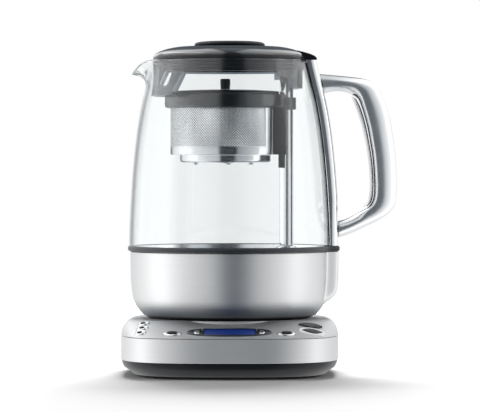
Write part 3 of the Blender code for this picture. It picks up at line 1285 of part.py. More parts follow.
def build_post(body):
    """The sealed tube that the basket climbs, its foot, the screw's top bearing and the motor."""
    bore = POST_RADIUS - POST_WALL
    bm = bmesh.new()
    add_turned(bm, (
        (bore, POST_BOTTOM), (POST_RADIUS, POST_BOTTOM), (POST_RADIUS, POST_TOP - POST_WALL),
        (POST_RADIUS - POST_WALL, POST_TOP), (0.0, POST_TOP), (0.0, BORE_TOP), (bore, BORE_TOP)),
        POST_FRAME, TURN_STEPS // 2)
    add_node("basket_post", bm, body, "polished_steel")
    bm = bmesh.new()
    low = PLATE_TOP + GAP
    add_turned(bm, (
        (POST_RADIUS + GAP, low), (POST_FOOT_RADIUS, low), (POST_FOOT_RADIUS, low + POST_FOOT_HEIGHT / 2),
        (POST_RADIUS + POST_WALL, low + POST_FOOT_HEIGHT), (POST_RADIUS + GAP, low + POST_FOOT_HEIGHT)),
        POST_FRAME, TURN_STEPS // 2)
    add_node("post_foot", bm, body, "dark_grey_plastic")
    bm = bmesh.new()
    add_pipe(bm, SCREW_RADIUS + RUN_GAP, bore - GAP, BORE_TOP - GAP - BEARING_HEIGHT, BORE_TOP - GAP,
             POST_FRAME, SMALL_STEPS)
    add_node("screw_bearing", bm, body, "brass")
    bm = bmesh.new()
    low = FRAME_TOP + GAP
    add_turned(bm, (
        (0.0, low), (MOTOR_RADIUS, low), (MOTOR_RADIUS, low + MOTOR_HEIGHT),
        (GEARBOX_RADIUS, low + MOTOR_HEIGHT),
        (GEARBOX_RADIUS, low + MOTOR_HEIGHT + GEARBOX_HEIGHT), (0.0, low + MOTOR_HEIGHT + GEARBOX_HEIGHT)),
        POST_FRAME, TURN_STEPS // 2)
    add_node("lift_motor", bm, body, "dark_metal")


def build_lift(screw_body, shuttle_body):
    """The lift screw and the magnet shuttle that it drives inside the post."""
    bm = bmesh.new()
    collar_top = SCREW_FOOT + SCREW_COLLAR_HEIGHT
    top = BORE_TOP - GAP
    add_turned(bm, (
        (0.0, SCREW_FOOT), (SCREW_COLLAR_RADIUS, SCREW_FOOT), (SCREW_COLLAR_RADIUS, collar_top),
        (SCREW_RADIUS, collar_top), (SCREW_RADIUS, top), (0.0, top)), POST_FRAME, SMALL_STEPS)
    add_node("lift_screw", bm, screw_body, "polished_steel")
    bm = bmesh.new()
    outer = POST_RADIUS - POST_WALL - RUN_GAP
    inner = SCREW_RADIUS + RUN_GAP
    low = SHUTTLE_MIDDLE - SHUTTLE_HEIGHT / 2
    high = SHUTTLE_MIDDLE + SHUTTLE_HEIGHT / 2
    add_turned(bm, (
        (inner, low), (outer - SHUTTLE_CHAMFER, low), (outer, low + SHUTTLE_CHAMFER),
        (outer, high - SHUTTLE_CHAMFER),
        (outer - SHUTTLE_CHAMFER, high), (inner, high)), POST_FRAME, SMALL_STEPS)
    add_node("magnet_shuttle", bm, shuttle_body, "dark_metal")


# Basket


def basket_loop(inset, z):
    """The basket's round outline with its flat at the post, drawn in by an inset."""
    radius = BASKET_RADIUS - inset
    flat = BASKET_FLAT - inset
    half = math.acos(flat / radius)
    points = []
    for step in range(BASKET_STEPS + 1):
        angle = half + (2 * math.pi - 2 * half) * step / BASKET_STEPS
        points.append((BASKET_X + radius * math.cos(angle), radius * math.sin(angle), z))
    return points


def build_basket_body(body):
    """The steel wall of the basket, with a lip that carries the floor."""
    bm = bmesh.new()
    lip = BASKET_BOTTOM + BASKET_LIP_THICKNESS
    add_loft(bm, [
        basket_loop(0.0, BASKET_BOTTOM), basket_loop(0.0, BASKET_TOP), basket_loop(BASKET_WALL, BASKET_TOP),
        basket_loop(BASKET_WALL, lip), basket_loop(BASKET_LIP, lip), basket_loop(BASKET_LIP, BASKET_BOTTOM)],
        closed=True)
    add_node("basket_body", bm, body, "brushed_steel")


def build_basket_floor(body):
    """The stepped floor that clips in from below, with three lugs and a rivet disc."""
    bm = bmesh.new()
    top = BASKET_BOTTOM - GAP
    low = top - FLOOR_HEIGHT
    add_turned(bm, (
        (0.0, low - FLOOR_DISC), (FLOOR_DISC_RADIUS, low - FLOOR_DISC), (FLOOR_DISC_RADIUS, low),
        (FLOOR_RADIUS - FLOOR_WALL, low), (FLOOR_RADIUS, low + FLOOR_WALL), (FLOOR_RADIUS, top),
        (FLOOR_RADIUS - FLOOR_WALL, top), (FLOOR_RADIUS - FLOOR_WALL, low + FLOOR_WALL), (0.0, low + FLOOR_WALL)),
        at(BASKET_X, 0.0))
    floor = add_node("basket_floor", bm, body, "brushed_steel")
    bm = bmesh.new()
    ring = LUG_RING_SHARE * FLOOR_RADIUS
    for angle in LUG_ANGLES:
        add_rod(bm, LUG_RADIUS, low - LUG_HEIGHT, low + FLOOR_WALL / 2,
                at(BASKET_X + ring * math.cos(angle), ring * math.sin(angle)), SMALL_STEPS)
    combine(floor, bm, "UNION")


def build_basket_rim(body):
    """Rim ring, collar round the post and the arm with its magnet pocket, in one moulding."""
    bm = bmesh.new()
    add_turned(bm, (
        (0.0, RING_BOTTOM), (RING_RADIUS - RING_CHAMFER, RING_BOTTOM), (RING_RADIUS, RING_BOTTOM + RING_CHAMFER),
        (RING_RADIUS, RING_TOP), (0.0, RING_TOP)), at(BASKET_X, 0.0))
    rim = add_node("basket_rim", bm, body, "dark_grey_plastic")
    bm = bmesh.new()
    collar_top = RING_TOP - COLLAR_DROP
    add_rod(bm, COLLAR_RADIUS, collar_top - COLLAR_HEIGHT, collar_top, POST_FRAME, TURN_STEPS // 2)
    combine(rim, bm, "UNION")
    bm = bmesh.new()
    add_block(bm, (ARM_START, -ARM_HALF_WIDTH, ARM_BOTTOM),
              (ARM_REACH, ARM_HALF_WIDTH, RING_BOTTOM + RING_HEIGHT / 4))
    combine(rim, bm, "UNION")
    bm = bmesh.new()
    add_block(bm, (TAIL_START, -TAIL_HALF_WIDTH, ARM_BOTTOM - TAIL_HEIGHT),
              (TAIL_REACH, TAIL_HALF_WIDTH, ARM_BOTTOM + RING_HEIGHT / 4))
    combine(rim, bm, "UNION")
    bm = bmesh.new()
    low = ARM_BOTTOM - TAIL_HEIGHT - OVERRUN
    high = RING_TOP + OVERRUN
    outline = [(x, y) for x, y, _ in basket_loop(-GAP, 0.0)]
    add_prism(bm, outline, Matrix.Identity(4), low, high)
    combine(rim, bm, "DIFFERENCE")
    bm = bmesh.new()
    post_hole(bm, RUN_GAP, low, high)
    combine(rim, bm, "DIFFERENCE")
    flat = BASKET_X + BASKET_FLAT + GAP
    bm = bmesh.new()
    add_block(bm, (flat - OVERRUN, -MAGNET_HALF_WIDTH - GAP, SHUTTLE_MIDDLE - MAGNET_HALF_HEIGHT - GAP),
              (flat + MAGNET_THICKNESS + GAP, MAGNET_HALF_WIDTH + GAP, SHUTTLE_MIDDLE + MAGNET_HALF_HEIGHT + GAP))
    combine(rim, bm, "DIFFERENCE")
    bm = bmesh.new()
    add_block(bm, (flat, -MAGNET_HALF_WIDTH, SHUTTLE_MIDDLE - MAGNET_HALF_HEIGHT),
              (flat + MAGNET_THICKNESS, MAGNET_HALF_WIDTH, SHUTTLE_MIDDLE + MAGNET_HALF_HEIGHT))
    add_node("basket_magnet", bm, body, "dark_metal")


def build_basket_lid(body):
    """The domed lid on the basket, with a flat that clears the post, and its knob."""
    low = RING_TOP + GAP
    top = low + BASKET_LID_RISE
    bm = bmesh.new()
    half = math.pi / 2
    crown = []
    for step in range(5):
        angle = half * step / 4
        crown.append((BASKET_LID_RADIUS * math.sin(angle),
                      low + BASKET_LID_EDGE + (BASKET_LID_RISE - BASKET_LID_EDGE) * math.cos(angle)))
    add_turned(bm, crown + [(BASKET_LID_RADIUS, low), (0.0, low)], at(BASKET_X, 0.0))
    lid = add_node("basket_lid", bm, body, "dark_grey_plastic")
    bm = bmesh.new()
    add_block(bm, (LID_FLAT_X, -BASKET_LID_RADIUS, low - OVERRUN),
              (LID_FLAT_X + BASKET_LID_RADIUS, BASKET_LID_RADIUS, top + OVERRUN))
    combine(lid, bm, "DIFFERENCE")
    bm = bmesh.new()
    foot = top + GAP
    add_turned(bm, (
        (0.0, foot), (KNOB_RADIUS * 4 / 5, foot), (KNOB_STEM_RADIUS, foot + KNOB_HEIGHT / 3),
        (KNOB_RADIUS, foot + KNOB_HEIGHT * 3 / 5), (KNOB_RADIUS * 9 / 10, foot + KNOB_HEIGHT * 9 / 10),
        (KNOB_RADIUS / 2, foot + KNOB_HEIGHT), (0.0, foot + KNOB_HEIGHT)), at(BASKET_X, 0.0), SMALL_STEPS)
    add_node("basket_knob", bm, body, "black_plastic")


# Jug lid


def build_lid_cap(body):
    """The glossy dome, with its gap for the tail, and the grip disc on it."""
    bm = bmesh.new()
    profile = [(LID_RADIUS * radius, DOME_BOTTOM + LID_DOME * rise)
               for radius, rise in LID_DOME_OUTER_SHARES + LID_DOME_INNER_SHARES]
    add_turned(bm, profile, steps=TURN_STEPS)
    cap = add_node("lid_cap", bm, body, "gloss_black")
    bm = bmesh.new()
    half = LID_TAIL_HALF_WIDTH + GAP
    start = LID_TAIL_START_SHARE * LID_RADIUS - GAP
    add_block(bm, (start, -half, LID_BOTTOM), (LID_RADIUS + OVERRUN, half, DOME_TOP + OVERRUN))
    combine(cap, bm, "DIFFERENCE")
    bm = bmesh.new()
    foot = DOME_TOP + GAP
    add_turned(bm, [(GRIP_RADIUS * radius, foot + GRIP_HEIGHT * rise) for radius, rise in GRIP_PROFILE_SHARES])
    add_node("lid_grip", bm, body, "black_plastic")


def build_lid_rim(body):
    """The black ring under the dome, with the tail that covers the top of the spine."""
    bm = bmesh.new()
    top = LID_BOTTOM + LID_RIM_HEIGHT
    add_pipe(bm, SKIRT_INNER, LID_RADIUS, LID_BOTTOM, top, steps=TURN_STEPS)
    rim = add_node("lid_rim", bm, body, "gloss_black")
    bm = bmesh.new()
    start = LID_TAIL_START_SHARE * LID_RADIUS
    length = spine_face(GLASS_RIM) - start + GAP
    height = DOME_TOP - LID_BOTTOM - GAP
    base = LID_BOTTOM + LID_RIM_HEIGHT / 8
    outline = [(start + length * along, base + height * rise) for along, rise in LID_TAIL_SHARES]
    sections = [[(x, y, z) for x, z in outline] for y in (-LID_TAIL_HALF_WIDTH, LID_TAIL_HALF_WIDTH)]
    add_loft(bm, sections)
    combine(rim, bm, "UNION")


def build_lid_skirt(body):
    """The see-through skirt: a band with a spout tab and a stepped handle tab, and the gasket round it."""
    top = LID_BOTTOM - GAP
    bm = bmesh.new()
    add_pipe(bm, SKIRT_INNER, SKIRT_RADIUS, top - SKIRT_SPOUT_TAB, top)
    skirt = add_node("lid_skirt", bm, body, "smoke_plastic")
    arch_top = SKIRT_RADIUS * ARCH_TOP_SHARE
    step = SKIRT_RADIUS * STEP_SHARE
    tab = SKIRT_RADIUS * HANDLE_TAB_SHARE
    floor = top - SKIRT_SPOUT_TAB - OVERRUN
    outline = (
        (-SKIRT_RADIUS * ARCH_BOTTOM_SHARE, floor), (-arch_top, top - SKIRT_BAND), (step, top - SKIRT_BAND),
        (step, top - SKIRT_STEP), (tab, top - SKIRT_STEP), (tab, top - SKIRT_HANDLE_TAB),
        (SKIRT_RADIUS + OVERRUN, top - SKIRT_HANDLE_TAB), (SKIRT_RADIUS + OVERRUN, floor))
    bm = bmesh.new()
    reach = SKIRT_RADIUS + OVERRUN
    add_loft(bm, [[(x, y, z) for x, z in outline] for y in (-reach, reach)])
    combine(skirt, bm, "DIFFERENCE")
    bm = bmesh.new()
    inner = SKIRT_RADIUS + GASKET_CLEARANCE
    pitch = GASKET_HEIGHT / GASKET_RIBS
    low = top - GAP - GASKET_HEIGHT
    profile = [(inner, low + GASKET_HEIGHT), (inner, low)]
    for rib in range(GASKET_RIBS):
        profile.append((inner + GASKET_ROOT, low + rib * pitch))
        profile.append((inner + GASKET_RIB, low + (rib + 0.5) * pitch))
    profile.append((inner + GASKET_ROOT, low + GASKET_HEIGHT))
    add_turned(bm, profile)
    add_node("lid_gasket", bm, body, "black_rubber")


def main():
    """Builds the tea maker, body by body."""
    clear_scene()
    root = add_body("tea_maker", (AXIS_X, 0.0, 0.0))
    base = add_body("base_body", (0.0, 0.0, 0.0), root)
    build_base_bottom(base)
    build_base_band(base)
    build_base_top(base)
    build_base_fasteners(base)
    build_base_power(base)
    build_display(base)
    build_boards(base)
    build_surrounds(base)
    build_buttons(root)
    jug = add_body("jug_joint", (0.0, 0.0, JUG_BOTTOM), root)
    build_glass(jug)
    build_seal(jug)
    build_bowl(jug)
    build_heater(jug)
    build_underside(jug)
    build_spine(jug)
    build_handle(jug)
    build_post(jug)
    screw = add_body("lift_screw_joint", (POST_X, 0.0, SCREW_FOOT), root)
    shuttle = add_body("magnet_shuttle_joint", (POST_X, 0.0, SHUTTLE_MIDDLE), root)
    build_lift(screw, shuttle)
    basket = add_body("basket_joint", (POST_X, 0.0, RING_TOP), root)
    build_basket_body(basket)
    build_basket_floor(basket)
    build_basket_rim(basket)
    basket_lid = add_body("basket_lid_joint", (BASKET_X, 0.0, RING_TOP), root)
    build_basket_lid(basket_lid)
    lid = add_body("lid_joint", (0.0, 0.0, LID_BOTTOM), root)
    build_lid_cap(lid)
    build_lid_rim(lid)
    build_lid_skirt(lid)


main()
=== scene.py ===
"""Looks of the automatic tea maker: its visible pieces, their finishes, the stage, the light and the camera.

Lengths are metres, +Z is up and the control panel faces -Y. Pieces are drawn round the jug's own axis and
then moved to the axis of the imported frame. Tables of shares run along the size that their name gives.
"""
import math

import bmesh
import bpy
from bpy.props import FloatProperty, FloatVectorProperty, IntProperty, PointerProperty
from bpy.types import Operator, Panel, PropertyGroup
from mathutils import Matrix, Vector


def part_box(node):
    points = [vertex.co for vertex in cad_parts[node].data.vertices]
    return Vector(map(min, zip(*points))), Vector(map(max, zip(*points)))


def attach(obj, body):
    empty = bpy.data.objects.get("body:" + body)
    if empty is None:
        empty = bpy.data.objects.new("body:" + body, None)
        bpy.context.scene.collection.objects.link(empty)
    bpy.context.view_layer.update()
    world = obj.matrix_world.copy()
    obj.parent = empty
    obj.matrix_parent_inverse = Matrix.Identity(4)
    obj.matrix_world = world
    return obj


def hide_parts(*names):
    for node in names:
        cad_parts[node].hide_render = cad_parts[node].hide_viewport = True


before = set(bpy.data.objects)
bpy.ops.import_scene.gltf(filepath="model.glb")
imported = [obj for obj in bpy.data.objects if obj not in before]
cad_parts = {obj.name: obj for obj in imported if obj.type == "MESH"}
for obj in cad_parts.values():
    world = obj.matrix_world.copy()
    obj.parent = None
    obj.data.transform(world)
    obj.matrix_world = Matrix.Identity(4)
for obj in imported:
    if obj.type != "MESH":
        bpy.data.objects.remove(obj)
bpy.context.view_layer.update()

bl_info = {
    "name": "Automatic tea maker",
    "version": (1, 0, 0),
    "blender": (4, 5, 0),
    "location": "View3D > Sidebar > Tea maker",
    "description": "Builds the visible pieces, finishes, light and camera of a tea maker around its frame",
    "category": "Add Mesh",
}

MM = 0.001
FULL_TURN = 2 * math.pi

# Image that the camera frames, in pixels
IMAGE_WIDTH = 480
SENSOR_WIDTH = 36.0

# Places that the frame gives
BAND_LOW, BAND_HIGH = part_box("base_band")
AXIS_X = (BAND_LOW.x + BAND_HIGH.x) / 2
HALF_WIDTH = (BAND_HIGH.x - BAND_LOW.x) / 2
HALF_DEPTH = (BAND_HIGH.y - BAND_LOW.y) / 2
TRAY_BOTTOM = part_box("base_bottom")[0].z
SEAT_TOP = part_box("base_top")[1].z
COVER_LOW, COVER_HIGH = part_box("underside_cover")
BOWL_LOW, BOWL_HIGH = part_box("steel_bowl")
PLATE_LOW, PLATE_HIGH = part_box("heating_plate")
SEAL_LOW, SEAL_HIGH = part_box("glass_seal")
GLASS_LOW, GLASS_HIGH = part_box("glass_jug")
HANDLE_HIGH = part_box("handle_shell")[1]
POST_LOW, POST_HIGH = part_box("basket_post")
POST_FOOT_LOW, POST_FOOT_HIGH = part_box("post_foot")
WALL_LOW, WALL_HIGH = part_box("basket_body")
FLOOR_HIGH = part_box("basket_floor")[1]
ARM_LOW, ARM_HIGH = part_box("basket_rim")
TEA_LID_LOW, TEA_LID_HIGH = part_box("basket_lid")
KNOB_LOW, KNOB_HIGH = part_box("basket_knob")
RIM_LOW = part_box("lid_rim")[0]
CAP_LOW, CAP_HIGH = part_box("lid_cap")
GRIP_LOW, GRIP_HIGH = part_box("lid_grip")
SKIRT_LOW, SKIRT_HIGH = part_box("lid_skirt")
GASKET_LOW, GASKET_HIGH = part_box("lid_gasket")

# Gaps, merging and shading that all pieces share
GAP = 0.3 * MM
RUN_GAP = 0.4 * MM
OVERRUN = 3.0 * MM
MERGE_DISTANCE = 0.0005 * MM
SHARP_ANGLE = math.radians(38)
SOFT_SEGMENTS = 4


# Property helpers


def length(name, description, value):
    """A size given in millimetres."""
    return FloatProperty(name=name, description=description, default=value * MM, unit="LENGTH", precision=5)


def part(name, description, value):
    """A plain share or factor."""
    return FloatProperty(name=name, description=description, default=value, subtype="FACTOR", precision=3)


def tint(name, description, value):
    """A colour in linear light."""
    return FloatVectorProperty(name=name, description=description, default=value, subtype="COLOR",
                               size=3, min=0.0, max=1.0)


def count(name, description, value):
    """A number of steps or copies."""
    return IntProperty(name=name, description=description, default=value, min=3, max=720)


class TeaBase(PropertyGroup):
    """Sizes of the power base."""
    squareness: part("Squareness", "How square the base is in plan; 2 is an ellipse", 3.4)
    plan_steps: count("Plan steps", "Points once round the base", 144)
    band_wall: length("Band wall", "Wall of the brushed band", 1.5)
    band_edge: length("Band edge", "Rounding of the band's edges", 0.5)
    deck_rise: length("Deck rise", "Height of the deck over its edge", 12.0)
    deck_wall: length("Deck wall", "Wall of the silver deck", 2.5)
    side_inset: length("Side inset", "How far the deck draws in at its sides", 10.0)
    front_inset: length("Front inset", "How far the front slope runs back", 35.0)
    back_inset: length("Back inset", "How far the deck draws in at its back", 12.0)
    seat_radius: length("Seat radius", "Radius of the raised seat under the jug", 66.5)
    seat_thickness: length("Seat thickness", "Height of the seat's side wall", 3.3)
    seat_rise: length("Seat rise", "Height of the seat over the deck", 0.3)
    hub_radius: length("Hub radius", "Radius of the connector in the seat", 16.0)
    foot_outer: length("Foot ring radius", "Outer radius of the rubber foot ring", 62.0)
    foot_width: length("Foot ring width", "Width of the rubber foot ring", 7.0)


class TeaPanel(PropertyGroup):
    """Sizes of the controls on the front slope."""
    lean: FloatProperty(name="Lean", description="Turn of the outer controls on the slope",
                        default=math.radians(18), subtype="ANGLE")
    proud: length("Button height", "How far a button stands out of the slope", 0.9)
    small_length: length("Clock button half length", "Half the length of a clock button", 3.6)
    small_height: length("Clock button half height", "Half the height of a clock button", 2.2)
    surround: length("Surround", "Width of the chrome ring round a clock button", 0.9)
    oval_length: length("Oval button half length", "Half the length of an oval button", 7.0)
    oval_height: length("Oval button half height", "Half the height of an oval button", 4.0)
    lens_length: length("Hot water button half length", "Half the length of the upper lens button", 9.7)
    lens_height: length("Hot water button half height", "Half the height of the upper lens button", 4.6)
    start_length: length("Start button half length", "Half the length of the start button", 8.4)
    start_height: length("Start button half height", "Half the height of the start button", 4.2)
    ring_length: length("Light ring half length", "Half the length of the ring round the start button", 10.6)
    ring_height: length("Light ring half height", "Half the height of the ring round the start button", 6.0)
    bezel_length: length("Bezel half length", "Half the length of the display's bezel", 32.6)
    bezel_height: length("Bezel half height", "Half the height of the display's bezel", 8.7)
    window_length: length("Window half length", "Half the length of the blue window", 20.0)
    window_height: length("Window half height", "Half the height of the blue window", 6.3)


class TeaJug(PropertyGroup):
    """Sizes of the jug."""
    turn_steps: count("Turn steps", "Points once round the jug", 216)
    glass_radius: length("Glass radius", "Widest radius of the glass", 80.0)
    glass_wall: length("Glass wall", "Wall of the glass", 2.4)
    spout_reach: length("Spout reach", "How far the spout stands out of the rim", 16.2)
    spout_drop: length("Spout drop", "How far the spout's tip dips under the rim", 11.0)
    bowl_radius: length("Bowl radius", "Radius of the steel bowl at its top", 79.0)
    bowl_wall: length("Bowl wall", "Wall of the steel bowl", 1.2)
    rib_half_width: length("Rib half width", "Half the width of the rib at the handle", 15.0)
    rib_proud: length("Rib height", "How far the rib stands out of the bowl", 7.2)
    cover_radius: length("Cover radius", "Radius of the black underside cover", 67.0)
    seal_proud: length("Seal height", "How far the seal stands out of the bowl", 1.9)
    spine_depth: length("Spine depth", "Depth of the silver channel on the glass", 7.1)
    spine_corner: length("Spine corner", "Rounding of the channel's corners", 5.4)
    handle_width: length("Handle width", "Width of the handle from side to side", 24.0)


class TeaBasket(PropertyGroup):
    """Sizes of the tea basket and its post."""
    centre: length("Basket centre", "Place of the basket's middle from the jug's axis", -3.5)
    radius: length("Basket radius", "Outer radius of the steel wall", 43.7)
    flat: length("Basket flat", "Distance of the flat side from the basket's middle", 37.3)
    wall: length("Basket wall", "Thickness of the steel wall", 0.5)
    mesh_pitch: length("Mesh pitch", "Distance between the small holes along their rows", 1.5)
    mesh_web: length("Mesh web", "Half the steel left between two holes", 0.36)
    mesh_low: length("Mesh start", "Height of the first holes over the wall's foot", 5.6)
    mesh_high: length("Mesh end", "Height of the last holes under the wall's top", 7.0)
    mesh_side: length("Mesh side", "Plain steel left beside the flat", 9.0)
    ring_radius: length("Ring radius", "Outer radius of the dark rim ring", 48.1)
    ring_height: length("Ring height", "Height of the dark rim ring", 11.0)
    collar_radius: length("Collar radius", "Radius of the collar round the post", 7.6)
    post_radius: length("Post radius", "Radius of the polished post", 5.4)


class TeaLid(PropertyGroup):
    """Sizes of the jug's lid."""
    turn_steps: count("Turn steps", "Points once round the lid", 192)
    rim_inner: length("Rim inner radius", "Inner radius of the rim ring", 55.8)
    skirt_radius: length("Skirt radius", "Outer radius of the see-through skirt", 58.0)
    skirt_wall: length("Skirt wall", "Wall of the see-through skirt", 2.2)
    skirt_band: length("Skirt band", "Height of the skirt's plain band", 9.5)
    tail_half_width: length("Tail half width", "Half the width of the tail over the spine", 13.0)


class TeaFinish(PropertyGroup):
    """Colours of the finishes."""
    steel: tint("Brushed steel", "Colour of the band and the bowl", (0.60, 0.605, 0.61))
    silver: tint("Silver", "Colour of the deck", (0.62, 0.63, 0.64))
    chrome: tint("Chrome", "Colour of the handle and the buttons", (0.80, 0.81, 0.82))
    black: tint("Black", "Colour of the tray and the grip", (0.012, 0.014, 0.017))
    gloss: tint("Glossy black", "Colour of the lid", (0.014, 0.017, 0.021))
    slate: tint("Slate", "Colour of the basket's rim ring", (0.027, 0.036, 0.046))
    smoke: tint("Smoke", "Colour of the lid's skirt", (0.17, 0.20, 0.225))
    rubber: tint("Rubber", "Colour of seals and feet", (0.018, 0.021, 0.026))
    display: tint("Display", "Colour of the display window", (0.022, 0.075, 0.46))


class TeaStage(PropertyGroup):
    """Camera, light and floor."""
    distance: FloatProperty(name="Camera distance", description="Distance of the camera from the jug's axis",
                            default=2.75, unit="LENGTH")
    height: length("Camera height", "Height of the camera over the floor", 169.6)
    side_step: length("Camera side step", "Place of the camera to the right of the jug's axis", 8.2)
    focal_pixels: FloatProperty(name="Focal length", description="Focal length in pixels of the image",
                                default=3458.0)
    horizon_rise: FloatProperty(name="Horizon", description="Pixels of the horizon above the image's middle",
                                default=46.0)
    world_level: part("World level", "Brightness of the surroundings", 1.0)
    soft_level: part("Soft light", "Light from all around on matt surfaces", 0.18)
    lamp_power: FloatProperty(name="Lamp power", description="Power of the overhead softbox in watts",
                              default=84.0)
    side_power: FloatProperty(name="Side power", description="Power of each side softbox in watts",
                              default=3.0)


# Shapes


def place(bm, frame_matrix):
    """Moves a whole shape into a frame."""
    bmesh.ops.transform(bm, matrix=frame_matrix, verts=bm.verts)
    return bm


def at(x, y, z=0.0):
    """A frame at a point, unturned."""
    return Matrix.Translation((x, y, z))


def tidy(bm):
    """Merges doubles and points the faces outwards."""
    bmesh.ops.remove_doubles(bm, verts=bm.verts, dist=MERGE_DISTANCE)
    bmesh.ops.recalc_face_normals(bm, faces=bm.faces)
    return bm


def soften(bm, geom, offset, segments=SOFT_SEGMENTS, affect="EDGES"):
    """Rounds edges, or single corners with affect VERTICES."""
    bmesh.ops.bevel(bm, geom=geom, offset=offset, segments=segments, profile=0.5, affect=affect, material=-1)


def skin(loops, shut=False):
    """Grows a skin from loop to loop of equally many points; shut joins the last loop to the first."""
    bm = bmesh.new()
    order = bm.verts.layers.int.new("order")
    ring = bmesh.ops.create_circle(bm, segments=len(loops[0]), radius=1.0)["verts"]
    for index, vert in enumerate(ring):
        vert[order] = index
        vert.co = loops[0][index]
    first = list(bm.edges)
    last = first
    for loop in list(loops[1:]) + ([loops[0]] if shut else []):
        grown = bmesh.ops.extrude_edge_only(bm, edges=last)["geom"]
        for item in grown:
            if isinstance(item, bmesh.types.BMVert):
                item.co = loop[item[order]]
        last = [item for item in grown if isinstance(item, bmesh.types.BMEdge)]
    if not shut:
        bmesh.ops.contextual_create(bm, geom=first)
        bmesh.ops.contextual_create(bm, geom=last)
    return tidy(bm)


def turned(profile, steps, centre_x=0.0):
    """Spins (radius, height) or (radius, height, rounding) points; a ring if they miss the axis."""
    bm = bmesh.new()
    verts = [bm.verts.new((point[0], 0.0, point[1])) for point in profile]
    pairs = list(zip(verts, verts[1:]))
    if profile[0][0] > 0.0 and profile[-1][0] > 0.0:
        pairs.append((verts[-1], verts[0]))
    for pair in pairs:
        bm.edges.new(pair)
    for vert, point in zip(verts, profile):
        if len(point) > 2:
            soften(bm, [vert], point[2], affect="VERTICES")
    bmesh.ops.spin(bm, geom=bm.verts[:] + bm.edges[:], cent=(0.0, 0.0, 0.0), axis=(0.0, 0.0, 1.0),
                   angle=FULL_TURN, steps=steps, use_merge=True)
    return place(tidy(bm), at(centre_x, 0.0))


def tube(inner, outer, low, high, steps):
    """A ring with square edges."""
    return turned(((inner, low), (outer, low), (outer, high), (inner, high)), steps)


def rod(radius, low, high, steps=48, centre_x=0.0):
    """A plain cylinder."""
    return turned(((0.0, low), (radius, low), (radius, high), (0.0, high)), steps, centre_x)


def block(low, high, softness=0.0):
    """A box between two corners, its edges rounded."""
    bm = bmesh.new()
    low = Vector(low)
    high = Vector(high)
    stretch = Matrix.Diagonal((*(high - low), 1.0))
    bmesh.ops.create_cube(bm, size=1.0, matrix=at(*((low + high) / 2)) @ stretch)
    if softness:
        soften(bm, bm.edges[:], softness)
    return bm


def loops_of(rows):
    """Loops from rows of (outline, height)."""
    return [[(x, y, z) for x, y in outline] for outline, z in rows]


def prism(outline, low, high, frame_matrix=None):
    """A flat outline drawn up between two heights of its frame."""
    bm = skin(loops_of([(outline, low), (outline, high)]))
    return place(bm, frame_matrix) if frame_matrix else bm


def slab(outline, half_width):
    """An outline in the side view, drawn out to both sides."""
    return skin([[(x, y, z) for x, z in outline] for y in (-half_width, half_width)])


def smooth_value(table, share):
    """Reads a table of (place, value) shares along a smooth curve through its points."""
    places = [row[0] for row in table]
    values = [row[1] for row in table]
    share = min(max(share, places[0]), places[-1])
    index = max(i for i in range(len(places) - 1) if places[i] <= share)
    slopes = [(values[i + 1] - values[i]) / (places[i + 1] - places[i]) for i in range(len(places) - 1)]

    def tangent(i):
        if i == 0 or i == len(places) - 1:
            return slopes[min(i, len(slopes) - 1)]
        before, after = slopes[i - 1], slopes[i]
        return 0.0 if before * after <= 0.0 else 2 * before * after / (before + after)

    step = places[index + 1] - places[index]
    t = (share - places[index]) / step
    return ((2 * t ** 3 - 3 * t ** 2 + 1) * values[index] + (t ** 3 - 2 * t ** 2 + t) * step * tangent(index)
            + (3 * t ** 2 - 2 * t ** 3) * values[index + 1] + (t ** 3 - t ** 2) * step * tangent(index + 1))


def even(low, high, steps):
    """Evenly spaced values from low to high."""
    return [low + (high - low) * step / steps for step in range(steps + 1)]


def ease(share):
    """A smooth step from 0 to 1."""
    share = min(1.0, max(0.0, share))
    return share * share * (3 - 2 * share)


def round_angles(steps):
    """Angles once round."""
    return [FULL_TURN * step / steps for step in range(steps)]


def arc_points(radius, start, end, steps, centre=0.0):
    """Points along an arc round a centre on the X axis."""
    return [(centre + radius * math.cos(angle), radius * math.sin(angle))
            for angle in even(start, end, steps)]


def rounded_side(edge, low, high):
    """Rows of (inset, height) up a side with rounded edges."""
    angles = even(0.0, math.pi / 2, 4)
    return ([(edge * (1 - math.sin(angle)), low + edge * (1 - math.cos(angle))) for angle in angles]
            + [(edge * (1 - math.cos(angle)), high - edge * (1 - math.sin(angle))) for angle in angles])


def signed_power(value, power):
    """A power that keeps the sign."""
    return math.copysign(abs(value) ** power, value)


def oval(half_length, half_height, squareness=2.0, steps=48):
    """An ellipse, or with more squareness a fuller oval."""
    power = 2 / squareness
    return [(half_length * signed_power(math.cos(angle), power),
             half_height * signed_power(math.sin(angle), power)) for angle in round_angles(steps)]


def lens(half_length, half_height):
    """An outline of two arcs that meet in points."""
    return [(half_length * math.cos(angle), half_height * math.sin(angle) * abs(math.sin(angle)))
            for angle in round_angles(48)]


# Pieces


def shade(mesh):
    """Shades a mesh smooth but for its sharp edges."""
    mesh.shade_smooth()
    mesh.set_sharp_from_angle(angle=SHARP_ANGLE)


def linked(name, data):
    """A new object in the scene."""
    obj = bpy.data.objects.new(name, data)
    bpy.context.scene.collection.objects.link(obj)
    return obj


def new_object(name, bm):
    """An object at the origin that holds a shape drawn round the jug's axis."""
    obj = linked(name, bpy.data.meshes.new(name))
    place(bm, at(AXIS_X, 0.0)).to_mesh(obj.data)
    bm.free()
    shade(obj.data)
    return obj


